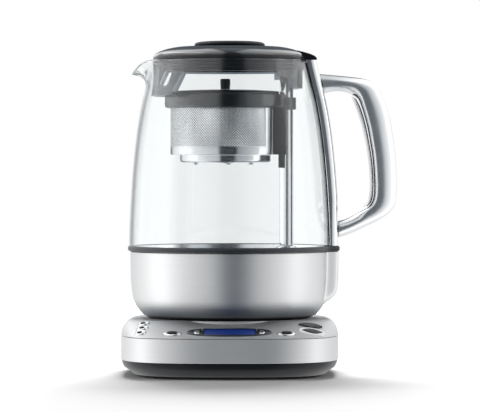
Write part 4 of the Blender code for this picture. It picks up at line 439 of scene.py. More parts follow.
def combine(obj, bm, operation):
    """Adds or cuts a shape and keeps the result as the object's mesh."""
    tool = new_object(obj.name + "_tool", bm)
    modifier = obj.modifiers.new(operation.title(), "BOOLEAN")
    modifier.operation = operation
    modifier.solver = "EXACT"
    modifier.object = tool
    graph = bpy.context.evaluated_depsgraph_get()
    made = bpy.data.meshes.new_from_object(obj.evaluated_get(graph), depsgraph=graph)
    obj.modifiers.clear()
    old = obj.data
    obj.data = made
    shade(made)
    bpy.data.meshes.remove(old)
    bpy.data.objects.remove(tool)


def finish_piece(obj, body, slot, material, *nodes):
    """Gives a piece its finish and its body, and hides the CAD nodes that it stands for; the slot is not
    used.
    """
    obj.data.materials.clear()
    obj.data.materials.append(material)
    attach(obj, body)
    if nodes:
        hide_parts(*nodes)
    return obj


def add_piece(name, bm, body, slot, material, *nodes):
    """Makes a shape into a finished piece."""
    return finish_piece(new_object(name, bm), body, slot, material, *nodes)


# Finishes


# Sockets of a mix node that carry colours
MIX_FIRST, MIX_SECOND, MIX_RESULT = 6, 7, 2
# Reach of a noise pattern that is used
NOISE_LOW, NOISE_HIGH = 0.3, 0.7


def add_node(tree, kind, inputs=None, **settings):
    """A shader node; an input given as a socket is linked, and any other is set."""
    node = tree.nodes.new("ShaderNode" + kind)
    for name, value in settings.items():
        setattr(node, name, value)
    for socket, value in (inputs or {}).items():
        if isinstance(value, bpy.types.NodeSocket):
            tree.links.new(value, node.inputs[socket])
        else:
            node.inputs[socket].default_value = value
    return node


def grey(level):
    """A colour without a hue."""
    return (level, level, level, 1.0)


def between(tree, value, low, high):
    """A smooth share of a value between two limits."""
    inputs = {"Value": value, "From Min": low, "From Max": high}
    return add_node(tree, "MapRange", inputs, interpolation_type="SMOOTHSTEP").outputs["Result"]


def product(tree, first, second):
    """Two shares multiplied."""
    return add_node(tree, "Math", {0: first, 1: second}, operation="MULTIPLY").outputs["Value"]


def mixed(tree, factor, first, second):
    """One colour turned into another by a factor."""
    inputs = {"Factor": factor, MIX_FIRST: first, MIX_SECOND: second}
    return add_node(tree, "Mix", inputs, data_type="RGBA").outputs[MIX_RESULT]


def new_material(name, colour, roughness, metallic=0.0, sockets=None):
    """A Principled material."""
    material = bpy.data.materials.new(name)
    material.use_nodes = True
    material.diffuse_color = (*colour, 1.0)
    values = {"Base Color": (*colour, 1.0), "Roughness": roughness, "Metallic": metallic, **(sockets or {})}
    for socket, value in values.items():
        shader_socket(material, socket).default_value = value
    return material


def shader_socket(material, name):
    """An input of a material's shader."""
    return material.node_tree.nodes["Principled BSDF"].inputs[name]


def add_noise(material, scale, detail=2.0, stretch=(1.0, 1.0, 1.0)):
    """A noise pattern on the object's own coordinates."""
    tree = material.node_tree
    coordinates = add_node(tree, "TexCoord").outputs["Object"]
    mapping = add_node(tree, "Mapping", {"Scale": stretch, "Vector": coordinates}).outputs["Vector"]
    return add_node(tree, "TexNoise", {"Scale": scale, "Detail": detail, "Vector": mapping}).outputs["Fac"]


def vary(material, noise, low, high):
    """Lets a noise move the roughness between two values."""
    inputs = {"From Min": NOISE_LOW, "From Max": NOISE_HIGH, "To Min": low, "To Max": high, "Value": noise}
    spread = add_node(material.node_tree, "MapRange", inputs)
    material.node_tree.links.new(spread.outputs["Result"], shader_socket(material, "Roughness"))


def vary_colour(material, noise, colour, swing):
    """Lets a noise lighten and darken the colour a little."""
    ramp = add_node(material.node_tree, "ValToRGB", {"Fac": noise})
    rows = ((NOISE_LOW, 1 - swing), (NOISE_HIGH, 1 + swing))
    for element, (position, factor) in zip(ramp.color_ramp.elements, rows):
        element.position = position
        element.color = (*[min(1.0, channel * factor) for channel in colour], 1.0)
    material.node_tree.links.new(ramp.outputs["Color"], shader_socket(material, "Base Color"))


def tone_by_height(material, start, end, colour):
    """Blends into another colour from a start height to an end height."""
    tree = material.node_tree
    target = shader_socket(material, "Base Color")
    coordinates = add_node(tree, "TexCoord").outputs["Object"]
    height = add_node(tree, "SeparateXYZ", {"Vector": coordinates}).outputs["Z"]
    edge = between(tree, height, start, end)
    tree.links.new(mixed(tree, edge, target.links[0].from_socket, (*colour, 1.0)), target)


def add_bump(material, noise, strength, distance=0.05 * MM):
    """Lets a noise roughen the surface."""
    bump = add_node(material.node_tree, "Bump", {"Strength": strength, "Distance": distance, "Height": noise})
    material.node_tree.links.new(bump.outputs["Normal"], shader_socket(material, "Normal"))


def brushed(name, colour, low, high, across=(0.004, 0.004, 1.0), spread=0.0):
    """Steel with fine lines that run level round a piece, or along the axis with the smallest stretch.

    A spread above 0 draws its highlights out across the lines.
    """
    sockets = {"Anisotropic": spread, "Anisotropic Rotation": 0.25}
    material = new_material(name, colour, (low + high) / 2, 1.0, sockets)
    lines = add_noise(material, 5200.0, 3.0, across)
    vary(material, lines, low, high)
    vary_colour(material, lines, colour, 0.035)
    add_bump(material, lines, 0.03, 0.01 * MM)
    return material


def moulded(name, colour, roughness, grain=2200.0, strength=0.08, sockets=None):
    """Moulded plastic or rubber with a fine grain."""
    material = new_material(name, colour, roughness, 0.0, sockets)
    speckle = add_noise(material, grain)
    vary(material, speckle, roughness * 0.85, roughness * 1.15)
    vary_colour(material, speckle, colour, 0.08)
    add_bump(material, speckle, strength)
    return material


def polished(name, colour, low, high, metallic=1.0, sockets=None):
    """Chrome or lacquer: glossy, with faint broad changes of gloss."""
    material = new_material(name, colour, (low + high) / 2, metallic, sockets)
    cloud = add_noise(material, 70.0, 3.0)
    vary(material, cloud, low, high)
    vary_colour(material, cloud, colour, 0.02)
    add_bump(material, cloud, 0.02, 0.02 * MM)
    return material


def painted(name, colour, low, high, metallic):
    """Metallic paint with a fine flake."""
    material = new_material(name, colour, (low + high) / 2, metallic)
    flake = add_noise(material, 5200.0, 1.0)
    vary_colour(material, flake, colour, 0.10)
    vary(material, flake, low, high)
    add_bump(material, flake, 0.05)
    return material


def clear(name, colour, roughness, ior, wave, shine=1.0):
    """Glass or clear plastic with a slight unevenness; a shine below 1 dims what it mirrors."""
    sockets = {"Transmission Weight": 1.0, "IOR": ior, "Specular Tint": grey(shine)}
    material = new_material(name, colour, roughness, 0.0, sockets)
    ripple = add_noise(material, 18.0, 1.0)
    vary(material, ripple, roughness, roughness + 0.01)
    add_bump(material, ripple, wave, 0.2 * MM)
    return material


def make_finishes(colours):
    """Every finish of the tea maker by its name."""
    coat = {"Coat Weight": 0.6, "Coat Roughness": 0.03}
    made = {
        "band": brushed("band_brushed_steel", colours.steel, 0.40, 0.48),
        "bowl": brushed("bowl_brushed_steel", colours.steel, 0.41, 0.47, spread=0.6),
        "plate": brushed("plate_steel", (0.80, 0.81, 0.82), 0.16, 0.24, (1.0, 0.004, 1.0)),
        "basket": polished("basket_steel", (0.64, 0.65, 0.66), 0.08, 0.13),
        "post": polished("post_polished_steel", (0.86, 0.87, 0.88), 0.04, 0.07),
        "chrome": polished("button_chrome", colours.chrome, 0.05, 0.09),
        "handle": polished("handle_satin_chrome", colours.chrome, 0.22, 0.27),
        "spine": polished("spine_satin_silver", (0.74, 0.75, 0.76), 0.16, 0.22),
        "liner": polished("liner_silver", (0.62, 0.63, 0.65), 0.14, 0.20),
        "gloss": polished("lid_gloss_black", colours.gloss, 0.05, 0.08, 0.0,
                          {**coat, "Specular IOR Level": 1.0}),
        "bezel": polished("bezel_gloss_black", (0.018, 0.020, 0.024), 0.08, 0.12, 0.0, coat),
        "rim": polished("rim_black", colours.gloss, 0.12, 0.16, 0.0, {"Specular IOR Level": 0.3}),
        "button": polished("button_gloss_black", (0.012, 0.014, 0.018), 0.12, 0.16, 0.0,
                           {"Specular IOR Level": 0.35}),
        # Painted reflection: black for the pads that stand for the dark mirror image on the chrome buttons
        "painted_reflection": moulded("painted_reflection_black", (0.005, 0.006, 0.007), 0.45, sockets={"Specular IOR Level": 0.2}),
        "grip": moulded("grip_black", colours.black, 0.50, sockets={"Specular IOR Level": 0.15}),
        "tray": moulded("tray_black", colours.black, 0.32, 2600.0, 0.06, {"Specular IOR Level": 0.25}),
        "cover": moulded("cover_black", (0.006, 0.007, 0.008), 0.45),
        "slate": moulded("rim_slate", colours.slate, 0.16, 2600.0, 0.03, {"Specular IOR Level": 0.9}),
        "tea_lid": moulded("basket_lid_slate", colours.slate, 0.20, 2600.0, 0.03),
        "knob": moulded("knob_black", (0.004, 0.004, 0.005), 0.30),
        "rubber": moulded("seal_rubber", colours.rubber, 0.42, 1800.0, 0.10),
        "gasket": moulded("gasket_rubber", (0.024, 0.031, 0.039), 0.22, 1800.0, 0.03,
                          {"Specular IOR Level": 0.5}),
        "foot": moulded("foot_rubber", (0.020, 0.020, 0.022), 0.70, 1500.0, 0.25),
        "grey": moulded("inner_grey_plastic", (0.10, 0.11, 0.12), 0.40),
        "board": moulded("board_green", (0.02, 0.12, 0.05), 0.35, 900.0, 0.10),
        "brass": polished("contact_brass", (0.72, 0.55, 0.24), 0.18, 0.28),
        "iron": brushed("inner_metal", (0.32, 0.32, 0.33), 0.35, 0.50),
        "screw": polished("screw_steel", (0.45, 0.45, 0.46), 0.25, 0.35),
        "glass": clear("jug_glass", (0.93, 0.945, 0.95), 0.0, 1.47, 0.02, 0.75),
        "smoke": clear("skirt_smoke", colours.smoke, 0.04, 1.45, 0.05),
        "light_ring": moulded("light_ring_white", (0.86, 0.88, 0.90), 0.25, 1500.0, 0.02,
                              {"Emission Color": grey(1.0), "Emission Strength": 0.35}),
        "silver": painted("deck_silver_paint", colours.silver, 0.44, 0.54, 0.65),
        "display": polished("display_blue", colours.display, 0.05, 0.09, 0.0, coat),
    }
    tone_by_height(made["rubber"], SEAL_LOW.z + 2.2 * MM, SEAL_LOW.z + 2.4 * MM, (0.045, 0.056, 0.068))
    # Painted shade and reflection: the bowl darkens towards its foot, for its dark mirror image of the deck
    # and the shade under the jug
    tone_by_height(made["bowl"], BOWL_LOW.z + 14.0 * MM, BOWL_LOW.z + 1.0 * MM, (0.19, 0.205, 0.22))
    return made


FINISHES = {}

# The finish of each CAD node that stays in view or inside the housings
NODE_FINISHES = {
    "foot_ring": "foot", "cord_gland": "rubber", "base_connector": "cover", "connector_contact": "brass",
    "main_board": "board", "display_board": "board", "clock_button_board": "board",
    "start_button_board": "board", "jug_connector": "cover", "socket_contact": "brass",
    "inner_frame": "grey", "heating_element": "iron", "temperature_sensor": "iron", "lift_motor": "iron",
    "lift_screw": "post", "magnet_shuttle": "iron", "basket_magnet": "iron", "screw_bearing": "brass",
    "base_screw_1": "screw", "base_screw_2": "screw", "base_screw_3": "screw", "base_screw_4": "screw",
    "lower_handle_screw": "screw", "upper_handle_screw": "screw",
}


class TEA_OT_finishes(Operator):
    """Makes the finishes and gives the inner CAD nodes theirs"""
    bl_idname = "tea.finishes"
    bl_label = "Finishes"

    def execute(self, context):
        FINISHES.update(make_finishes(context.scene.tea_finish))
        for node, finish in NODE_FINISHES.items():
            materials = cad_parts[node].data.materials
            materials.clear()
            materials.append(FINISHES[finish])
        return {"FINISHED"}


# Plan and slope of the base


def plan_loop(half_width, front, back, z, sizes):
    """The base's rounded square outline at one height."""
    return [(half_width * across, (back if along > 0.0 else front) * along, z)
            for across, along in oval(1.0, 1.0, sizes.squareness, sizes.plan_steps)]


def base_loop(inset, z, sizes):
    """The base's outline drawn in by an inset."""
    return plan_loop(HALF_WIDTH - inset, HALF_DEPTH - inset, HALF_DEPTH - inset, z, sizes)


def deck_level(share, sizes):
    """Half width, front, back and height of the deck at a share of its rise."""
    bend = math.sqrt(max(0.0, 1.0 - share * share))
    half_width = HALF_WIDTH - sizes.side_inset * (1.0 - bend)
    front = HALF_DEPTH - sizes.front_inset * share
    back = HALF_DEPTH - sizes.back_inset * (1.0 - bend)
    return half_width, front, back, SEAT_TOP - sizes.seat_rise - sizes.deck_rise * (1.0 - share)


def deck_point(x, share, sizes):
    """A point on the deck's front slope."""
    half_width, front, _, z = deck_level(share, sizes)
    fullness = 1.0 - min(1.0, abs(x / half_width)) ** sizes.squareness
    return Vector((x, -front * fullness ** (1 / sizes.squareness), z))


def panel_frame(x_share, rise_share, sizes, lean=0.0):
    """A frame on the front slope: X along the panel, Y up it and Z out of it."""
    x = x_share * HALF_WIDTH
    probe = HALF_WIDTH / 100
    along = deck_point(x + probe, rise_share, sizes) - deck_point(x - probe, rise_share, sizes)
    upward = deck_point(x, rise_share + 0.01, sizes) - deck_point(x, rise_share - 0.01, sizes)
    normal = along.cross(upward).normalized()
    along = Matrix.Rotation(lean, 3, normal) @ along.normalized()
    axes = Matrix((along, normal.cross(along), normal)).transposed().to_4x4()
    return at(*deck_point(x, rise_share, sizes)) @ axes


CLOCK_SHARES = {"clock_button_top": (-0.781, 0.80), "clock_button_middle": (-0.788, 0.545),
                "clock_button_bottom": (-0.805, 0.27)}
OVAL_SHARES = {"tea_type_button": (-0.513, 0.29), "strength_button": (0.513, 0.29)}
END_SHARES = {"display_minus_button": -0.77, "display_plus_button": 0.77}
HOT_WATER_SHARES = (0.733, 0.725)
START_SHARES = (0.745, 0.385)
DISPLAY_RISE_SHARE = 0.379
END_BUTTON_HALF_LENGTH = 2.6 * MM
END_BUTTON_HALF_HEIGHT = 4.0 * MM
# Size and place of the black pad, a painted reflection, on a chrome button, as shares of the button
REFLECTION_LENGTH_SHARE = 0.62
REFLECTION_HEIGHT_SHARE = 0.66
REFLECTION_DROP_SHARE = 0.14
BEZEL_SQUARENESS = 2.3
WELL_DEPTH = 3.8 * MM


def button_places(context):
    """Every button: its frame, outline maker, half length and half height."""
    sizes = context.scene.tea_base
    panel = context.scene.tea_panel
    rows = {}
    for name, shares in CLOCK_SHARES.items():
        rows[name] = (panel_frame(*shares, sizes, panel.lean), oval, panel.small_length, panel.small_height)
    for name, shares in OVAL_SHARES.items():
        rows[name] = (panel_frame(*shares, sizes), oval, panel.oval_length, panel.oval_height)
    display = panel_frame(0.0, DISPLAY_RISE_SHARE, sizes)
    for name, share in END_SHARES.items():
        rows[name] = (display @ at(share * panel.bezel_length, 0.0), oval,
                      END_BUTTON_HALF_LENGTH, END_BUTTON_HALF_HEIGHT)
    rows["hot_water_button"] = (panel_frame(*HOT_WATER_SHARES, sizes, -panel.lean), lens,
                                panel.lens_length, panel.lens_height)
    rows["start_button"] = (panel_frame(*START_SHARES, sizes, -panel.lean), lens,
                            panel.start_length, panel.start_height)
    return rows


# Power base


# Inset and height shares of the tray's side, from its foot to its lip
TRAY_SIDE = ((10.0, 0.0), (9.2, 0.04), (2.6, 0.50), (1.2, 0.74), (0.8, 0.90), (0.8, 1.0))
TRAY_SKIRT_INSET = 2.3 * MM
TRAY_SKIRT_WALL = 2.0 * MM
TRAY_SKIRT_DROP = 4.5 * MM
TRAY_FLOOR_INSET = 10.5 * MM
TRAY_FLOOR = 4.0 * MM
FOOT_GROOVE = 1.5 * MM
SCREW_HEAD_HOLE = 3.3 * MM
SCREW_HOLE = 1.7 * MM
GLAND_HOLE = 6.3 * MM
GLAND_REACH = 12.0 * MM


class TEA_OT_base(Operator):
    """Black tray, brushed band and silver deck with the seat"""
    bl_idname = "tea.base"
    bl_label = "Power base"

    def execute(self, context):
        sizes = context.scene.tea_base
        self.add_tray(sizes)
        self.add_band(sizes)
        self.add_deck(context, sizes)
        return {"FINISHED"}

    def add_tray(self, sizes):
        lip = BAND_LOW.z - GAP
        rise = lip - TRAY_BOTTOM
        loops = [base_loop(inset * MM, TRAY_BOTTOM + share * rise, sizes) for inset, share in TRAY_SIDE]
        skirt_top = BAND_HIGH.z - TRAY_SKIRT_DROP
        skirt_inner = TRAY_SKIRT_INSET + TRAY_SKIRT_WALL
        loops += [base_loop(inset, z, sizes) for inset, z in (
            (TRAY_SKIRT_INSET, lip), (TRAY_SKIRT_INSET, skirt_top), (skirt_inner, skirt_top),
            (skirt_inner, BAND_LOW.z), (TRAY_FLOOR_INSET, TRAY_BOTTOM + TRAY_FLOOR))]
        tray = new_object("tray", skin(loops))
        groove = tube(sizes.foot_outer - sizes.foot_width - GAP, sizes.foot_outer + GAP, -OVERRUN,
                      TRAY_BOTTOM + FOOT_GROOVE, 128)
        combine(tray, groove, "DIFFERENCE")
        for number in range(1, 5):
            low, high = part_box(f"base_screw_{number}")
            middle = (low + high) / 2
            step = low.z + 2.0 * MM
            end = TRAY_BOTTOM + 6.0 * MM
            hole = ((0.0, -OVERRUN), (SCREW_HEAD_HOLE, -OVERRUN), (SCREW_HEAD_HOLE, step), (SCREW_HOLE, step),
                    (SCREW_HOLE, end), (0.0, end))
            combine(tray, place(turned(hole, 32), at(middle.x - AXIS_X, middle.y)), "DIFFERENCE")
        combine(tray, self.gland_hole(), "DIFFERENCE")
        finish_piece(tray, "base", "base_tray_black", FINISHES["tray"], "base_bottom")

    def gland_hole(self):
        """A cutter for the cord gland at the back."""
        low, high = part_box("cord_gland")
        turn = Matrix.Rotation(-math.pi / 2, 4, "X")
        return place(rod(GLAND_HOLE, -GLAND_REACH, OVERRUN), at(0.0, high.y, (low.z + high.z) / 2) @ turn)

    def add_band(self, sizes):
        low, high = BAND_LOW.z, BAND_HIGH.z
        rows = rounded_side(sizes.band_edge, low, high) + [(sizes.band_wall, high), (sizes.band_wall, low)]
        band = new_object("band", skin([base_loop(inset, z, sizes) for inset, z in rows], shut=True))
        combine(band, self.gland_hole(), "DIFFERENCE")
        finish_piece(band, "base", "base_band_steel", FINISHES["band"], "base_band")

    def add_deck(self, context, sizes):
        shares = [math.sin(math.pi / 2 * step) for step in even(0.0, 1.0, 14)]
        wall = sizes.deck_wall
        loops = []
        for share in reversed(shares):
            half_width, front, back, z = deck_level(share, sizes)
            loops.append(plan_loop(half_width - wall, front - wall, back - wall, z - wall * share, sizes))
        loops += [plan_loop(*deck_level(share, sizes), sizes) for share in shares]
        deck = new_object("deck", skin(loops))
        foot = SEAT_TOP - sizes.seat_thickness
        seat = ((0.0, foot), (sizes.seat_radius, foot), (sizes.seat_radius, SEAT_TOP, 0.5 * MM),
                (0.0, SEAT_TOP))
        combine(deck, turned(seat, 160), "UNION")
        combine(deck, rod(sizes.hub_radius + GAP, foot - OVERRUN, SEAT_TOP + OVERRUN, 64), "DIFFERENCE")
        for cutter in self.panel_cutters(context):
            combine(deck, cutter, "DIFFERENCE")
        finish_piece(deck, "base", "base_deck_silver", FINISHES["silver"], "base_top")

    def panel_cutters(self, context):
        """A cutter for each insert and button of the control panel."""
        sizes = context.scene.tea_base
        panel = context.scene.tea_panel
        display = panel_frame(0.0, DISPLAY_RISE_SHARE, sizes)
        bezel = oval(panel.bezel_length + GAP, panel.bezel_height + GAP, BEZEL_SQUARENESS, 72)
        cutters = [prism(bezel, -WELL_DEPTH, OVERRUN, display)]
        for name, (place_frame, outline, half_length, half_height) in button_places(context).items():
            if name in END_SHARES:
                continue
            if name in CLOCK_SHARES:
                margin = RUN_GAP + panel.surround + GAP
                grown = oval(half_length + margin, half_height + margin)
            elif name == "start_button":
                grown = oval(panel.ring_length + GAP, panel.ring_height + GAP)
            else:
                grown = outline(half_length + RUN_GAP, half_height + RUN_GAP)
            cutters.append(prism(grown, -WELL_DEPTH, OVERRUN, place_frame))
        return cutters


# Controls


def pillow(place_frame, outline, half_length, half_height, foot, rows):
    """A button: straight sides from its foot, then rows of (inset, height) that close its top."""
    levels = [(0.0, foot)] + list(rows)
    loops = loops_of([(outline(half_length - inset, half_height - inset), z) for inset, z in levels])
    return place(skin(loops), place_frame)


class TEA_OT_controls(Operator):
    """Display, buttons and their surrounds"""
    bl_idname = "tea.controls"
    bl_label = "Controls"

    def execute(self, context):
        panel = context.scene.tea_panel
        places = button_places(context)
        self.add_display(context, panel, places)
        self.add_surrounds(panel, places)
        foot = -2.8 * MM
        proud = panel.proud
        crown = ((0.0, proud * 0.35), (0.12 * MM, proud * 0.62), (0.35 * MM, proud * 0.84),
                 (0.8 * MM, proud * 0.96), (1.3 * MM, proud))
        for name, (place_frame, outline, half_length, half_height) in places.items():
            dark = name in ("hot_water_button", "start_button")
            shape = pillow(place_frame, outline, half_length, half_height, foot, crown)
            slot = "button_black" if dark else "button_chrome"
            add_piece(name + "_cap", shape, name, slot, FINISHES["button" if dark else "chrome"], name)
            # On each chrome button except the display's end buttons, a black pad is a painted reflection of
            # the jug's dark underside
            if not dark and name not in END_SHARES:
                painted_reflection = pillow(place_frame @ at(0.0, -half_height * REFLECTION_DROP_SHARE), outline,
                             half_length * REFLECTION_LENGTH_SHARE, half_height * REFLECTION_HEIGHT_SHARE, proud * 0.5,
                             ((0.0, proud), (0.1 * MM, proud + 0.4 * MM), (0.5 * MM, proud + 0.7 * MM)))
                add_piece(name + "_dark_reflection", painted_reflection, name, "button_black", FINISHES["painted_reflection"])
        return {"FINISHED"}

    def add_display(self, context, panel, places):
        """Bezel with its opening and wells, and the blue window."""
        display = panel_frame(0.0, DISPLAY_RISE_SHARE, context.scene.tea_base)

        def bezel_outline(half_length, half_height):
            return oval(half_length, half_height, BEZEL_SQUARENESS, 96)

        rows = ((0.0, 0.1 * MM), (0.12 * MM, 0.32 * MM), (0.4 * MM, 0.5 * MM))
        bezel = new_object("bezel", pillow(display, bezel_outline, panel.bezel_length, panel.bezel_height,
                                           -2.6 * MM, rows))
        window = block((-panel.window_length, -panel.window_height, -6.0 * MM),
                       (panel.window_length, panel.window_height, 6.0 * MM))
        combine(bezel, place(window, display), "DIFFERENCE")
        for name in END_SHARES:
            place_frame, outline, half_length, half_height = places[name]
            well = prism(outline(half_length + RUN_GAP, half_height + RUN_GAP), -6.0 * MM, 6.0 * MM,
                         place_frame)
            combine(bezel, well, "DIFFERENCE")
        finish_piece(bezel, "base", "bezel_black", FINISHES["bezel"], "display_bezel")
        pane = block((GAP - panel.window_length, GAP - panel.window_height, -1.3 * MM),
                     (panel.window_length - GAP, panel.window_height - GAP, 0.2 * MM), 0.15 * MM)
        add_piece("display_pane", place(pane, display), "base", "display_blue", FINISHES["display"],
                  "display_window")

    def add_surrounds(self, panel, places):
        """A chrome ring round each clock button, and the start button's light ring."""
        for number, name in enumerate(CLOCK_SHARES, start=1):
            place_frame, _, half_length, half_height = places[name]
            inner = RUN_GAP
            outer = RUN_GAP + panel.surround
            rows = ((outer, -3.4), (outer, 0.2), (outer - 0.3 * MM, 0.6), (inner + 0.3 * MM, 0.6),
                    (inner, 0.2), (inner, -3.4))
            loops = loops_of([(oval(half_length + grow, half_height + grow), z * MM) for grow, z in rows])
            nodes = ("clock_button_surround",) if number == 1 else ()
            add_piece(f"clock_ring_{number}", place(skin(loops, shut=True), place_frame), "base",
                      "surround_chrome", FINISHES["chrome"], *nodes)
        place_frame = places["start_button"][0]
        inner = lens(panel.start_length + RUN_GAP, panel.start_height + RUN_GAP)
        rows = [(oval(panel.ring_length - inset * MM, panel.ring_height - inset * MM), z * MM)
                for inset, z in ((0.0, -2.5), (0.0, 0.25), (0.35, 0.6))]
        loops = loops_of(rows + [(inner, 0.5 * MM), (inner, -2.5 * MM)])
        add_piece("start_light_ring", place(skin(loops, shut=True), place_frame), "base", "light_ring_white",
                  FINISHES["light_ring"], "start_button_light_ring")


# Jug outlines


GLASS_RADIUS_SHARES = ((0.0, 0.991), (0.032, 1.0), (0.22, 0.988), (0.376, 0.970), (0.50, 0.949),
                       (0.63, 0.920), (0.757, 0.880), (0.867, 0.831), (0.943, 0.7965), (1.0, 0.7725))
SPOUT_REACH_SHARES = ((0.0, 0.0), (0.84, 0.0), (0.916, 0.155), (0.953, 0.42), (0.98, 0.79), (1.0, 1.0))
SPOUT_DROP_SHARES = ((0.0, 0.0), (0.80, 0.0), (0.867, 0.18), (0.916, 0.43), (0.953, 0.57), (0.98, 0.80),
                     (1.0, 1.0))
SPOUT_SPREAD = math.radians(13)
SPOUT_DROP_POWER = 2.5
BOWL_RADIUS_SHARES = ((0.0, 0.870), (0.074, 0.911), (0.161, 0.947), (0.273, 0.972), (0.41, 0.986),
                      (0.631, 0.996), (1.0, 1.0))
RIB_PROUD_SHARES = ((0.0, 0.0), (0.16, 0.0), (0.21, 0.19), (0.28, 0.63), (0.37, 0.95), (0.44, 1.0),
                    (1.0, 1.0))
RIB_FLANK = math.radians(4.5)
HANDLE_DROP_SHARE = 0.064
HANDLE_TOP_DROP = 10.8 * MM
LINER_WIDTH_SHARE = 0.72
SPINE_WALL = 2.0 * MM
SPINE_GLASS_GAP = 0.4 * MM
BACKING_GAP = 0.05 * MM
BACKING_WALL = 0.3 * MM
BOWL_LEDGE = 1.2 * MM
BOWL_LEDGE_WIDTH = 2.3 * MM
COVER_HOLE = 24.3 * MM
PLATE_LIP = 0.8 * MM
SEAL_ROUNDING = 1.3 * MM
SEAL_BED = 0.8 * MM
POST_WALL = 1.0 * MM
POST_ROOF = 1.5 * MM
# Reach and rise of the handle's outer and inner edge at each station, from its upper to its lower arm
HANDLE_STATIONS = (
    (0.0, 1.000, 0.0, 0.882), (0.179, 0.992, 0.150, 0.894), (0.358, 0.984, 0.276, 0.891),
    (0.537, 0.973, 0.367, 0.875), (0.654, 0.955, 0.428, 0.858), (0.737, 0.927, 0.461, 0.839),
    (0.794, 0.881, 0.488, 0.798), (0.853, 0.812, 0.521, 0.738), (0.902, 0.733, 0.551, 0.669),
    (0.940, 0.630, 0.578, 0.586), (0.984, 0.493, 0.607, 0.483), (1.0, 0.346, 0.620, 0.354),
    (0.994, 0.252, 0.614, 0.271), (0.968, 0.196, 0.580, 0.218), (0.892, 0.158, 0.522, 0.189),
    (0.800, 0.129, 0.459, 0.172), (0.643, 0.096, 0.365, 0.155), (0.450, 0.063, 0.248, 0.131),
    (0.257, 0.030, 0.136, 0.112), (0.062, 0.004, 0.040, 0.102), (0.0, 0.000, 0.0, 0.101))
LINER_STATIONS = (
    (0.437, 0.842, 0.363, 0.865), (0.483, 0.790, 0.399, 0.801), (0.532, 0.700, 0.459, 0.698),
    (0.575, 0.578, 0.508, 0.578), (0.606, 0.473, 0.537, 0.473), (0.618, 0.360, 0.551, 0.346),
    (0.610, 0.271, 0.536, 0.271), (0.573, 0.214, 0.490, 0.214), (0.505, 0.190, 0.437, 0.187))


def glass_share(z):
    """A height as a share of the glass."""
    return (z - GLASS_LOW.z) / (GLASS_HIGH.z - GLASS_LOW.z)


def glass_radius(z, jug):
    """The glass's outer radius at a height."""
    return jug.glass_radius * smooth_value(GLASS_RADIUS_SHARES, glass_share(z))


def bowl_share(z):
    """A height as a share of the bowl."""
    return (z - BOWL_LOW.z) / (BOWL_HIGH.z - BOWL_LOW.z)


def bowl_radius(z, jug):
    """The bowl's outer radius at a height."""
    return jug.bowl_radius * smooth_value(BOWL_RADIUS_SHARES, bowl_share(z))


def rib_reach(z, jug):
    """How far the bowl's rib reaches from the axis at a height."""
    return bowl_radius(z, jug) + jug.rib_proud * smooth_value(RIB_PROUD_SHARES, bowl_share(z))


def spine_face(z, jug):
    """How far the spine's outer face lies from the axis at a height."""
    return min(glass_radius(z, jug) + jug.spine_depth, rib_reach(BOWL_HIGH.z, jug) - SPINE_GLASS_GAP)


def turn_offset(angle, middle):
    """How far an angle lies from a middle, between minus and plus half a turn."""
    return (angle - middle + math.pi) % FULL_TURN - math.pi


def glass_loop(share, inset, jug, dip=0.0):
    """One loop of the glass, drawn out and down at the spout."""
    z = GLASS_LOW.z + share * (GLASS_HIGH.z - GLASS_LOW.z)
    radius = jug.glass_radius * smooth_value(GLASS_RADIUS_SHARES, share) - inset
    reach_share = smooth_value(SPOUT_REACH_SHARES, share)
    drop_share = smooth_value(SPOUT_DROP_SHARES, share)
    points = []
    for angle in round_angles(jug.turn_steps):
        swell = math.exp(-(turn_offset(angle, math.pi) / SPOUT_SPREAD) ** 2)
        drop = jug.spout_drop * drop_share * swell ** SPOUT_DROP_POWER
        reach = radius + jug.spout_reach * reach_share * swell
        lift = inset * reach_share * swell
        points.append((reach * math.cos(angle), reach * math.sin(angle), z - drop + lift - dip))
    return points


def ribbed_loop(radius, reach, z, jug):
    """A circle with a flat rib at the handle that stands out to its reach."""
    corner = math.asin(jug.rib_half_width / (jug.bowl_radius + jug.rib_proud))
    points = []
    for angle in round_angles(jug.turn_steps * 2):
        offset = abs(turn_offset(angle, 0.0))
        flat = reach / math.cos(min(offset, corner + RIB_FLANK))
        blend = 1.0 - ease((offset - corner + RIB_FLANK / 4) / (RIB_FLANK * 1.25))
        distance = radius + max(0.0, flat - radius) * blend if reach > radius else radius
        points.append((distance * math.cos(angle), distance * math.sin(angle), z))
    return points


# Jug


class TEA_OT_glass(Operator):
    """Glass with its drawn spout"""
    bl_idname = "tea.glass"
    bl_label = "Glass"

    def execute(self, context):
        jug = context.scene.tea_jug
        wall = jug.glass_wall
        half = wall / 2
        shares = even(0.0, 0.80, 24) + even(0.81, 0.98, 17) + [0.985, 0.99, 0.995]
        loops = [glass_loop(share, 0.0, jug) for share in shares]
        for angle in even(0.0, math.pi, 8):
            loops.append(glass_loop(1.0, half * (1 - math.cos(angle)), jug, half * (1 - math.sin(angle))))
        loops += [glass_loop(share, wall, jug) for share in reversed(shares)]
        add_piece("glass_wall", skin(loops, shut=True), "jug", "jug_glass", FINISHES["glass"], "glass_jug")
        return {"FINISHED"}


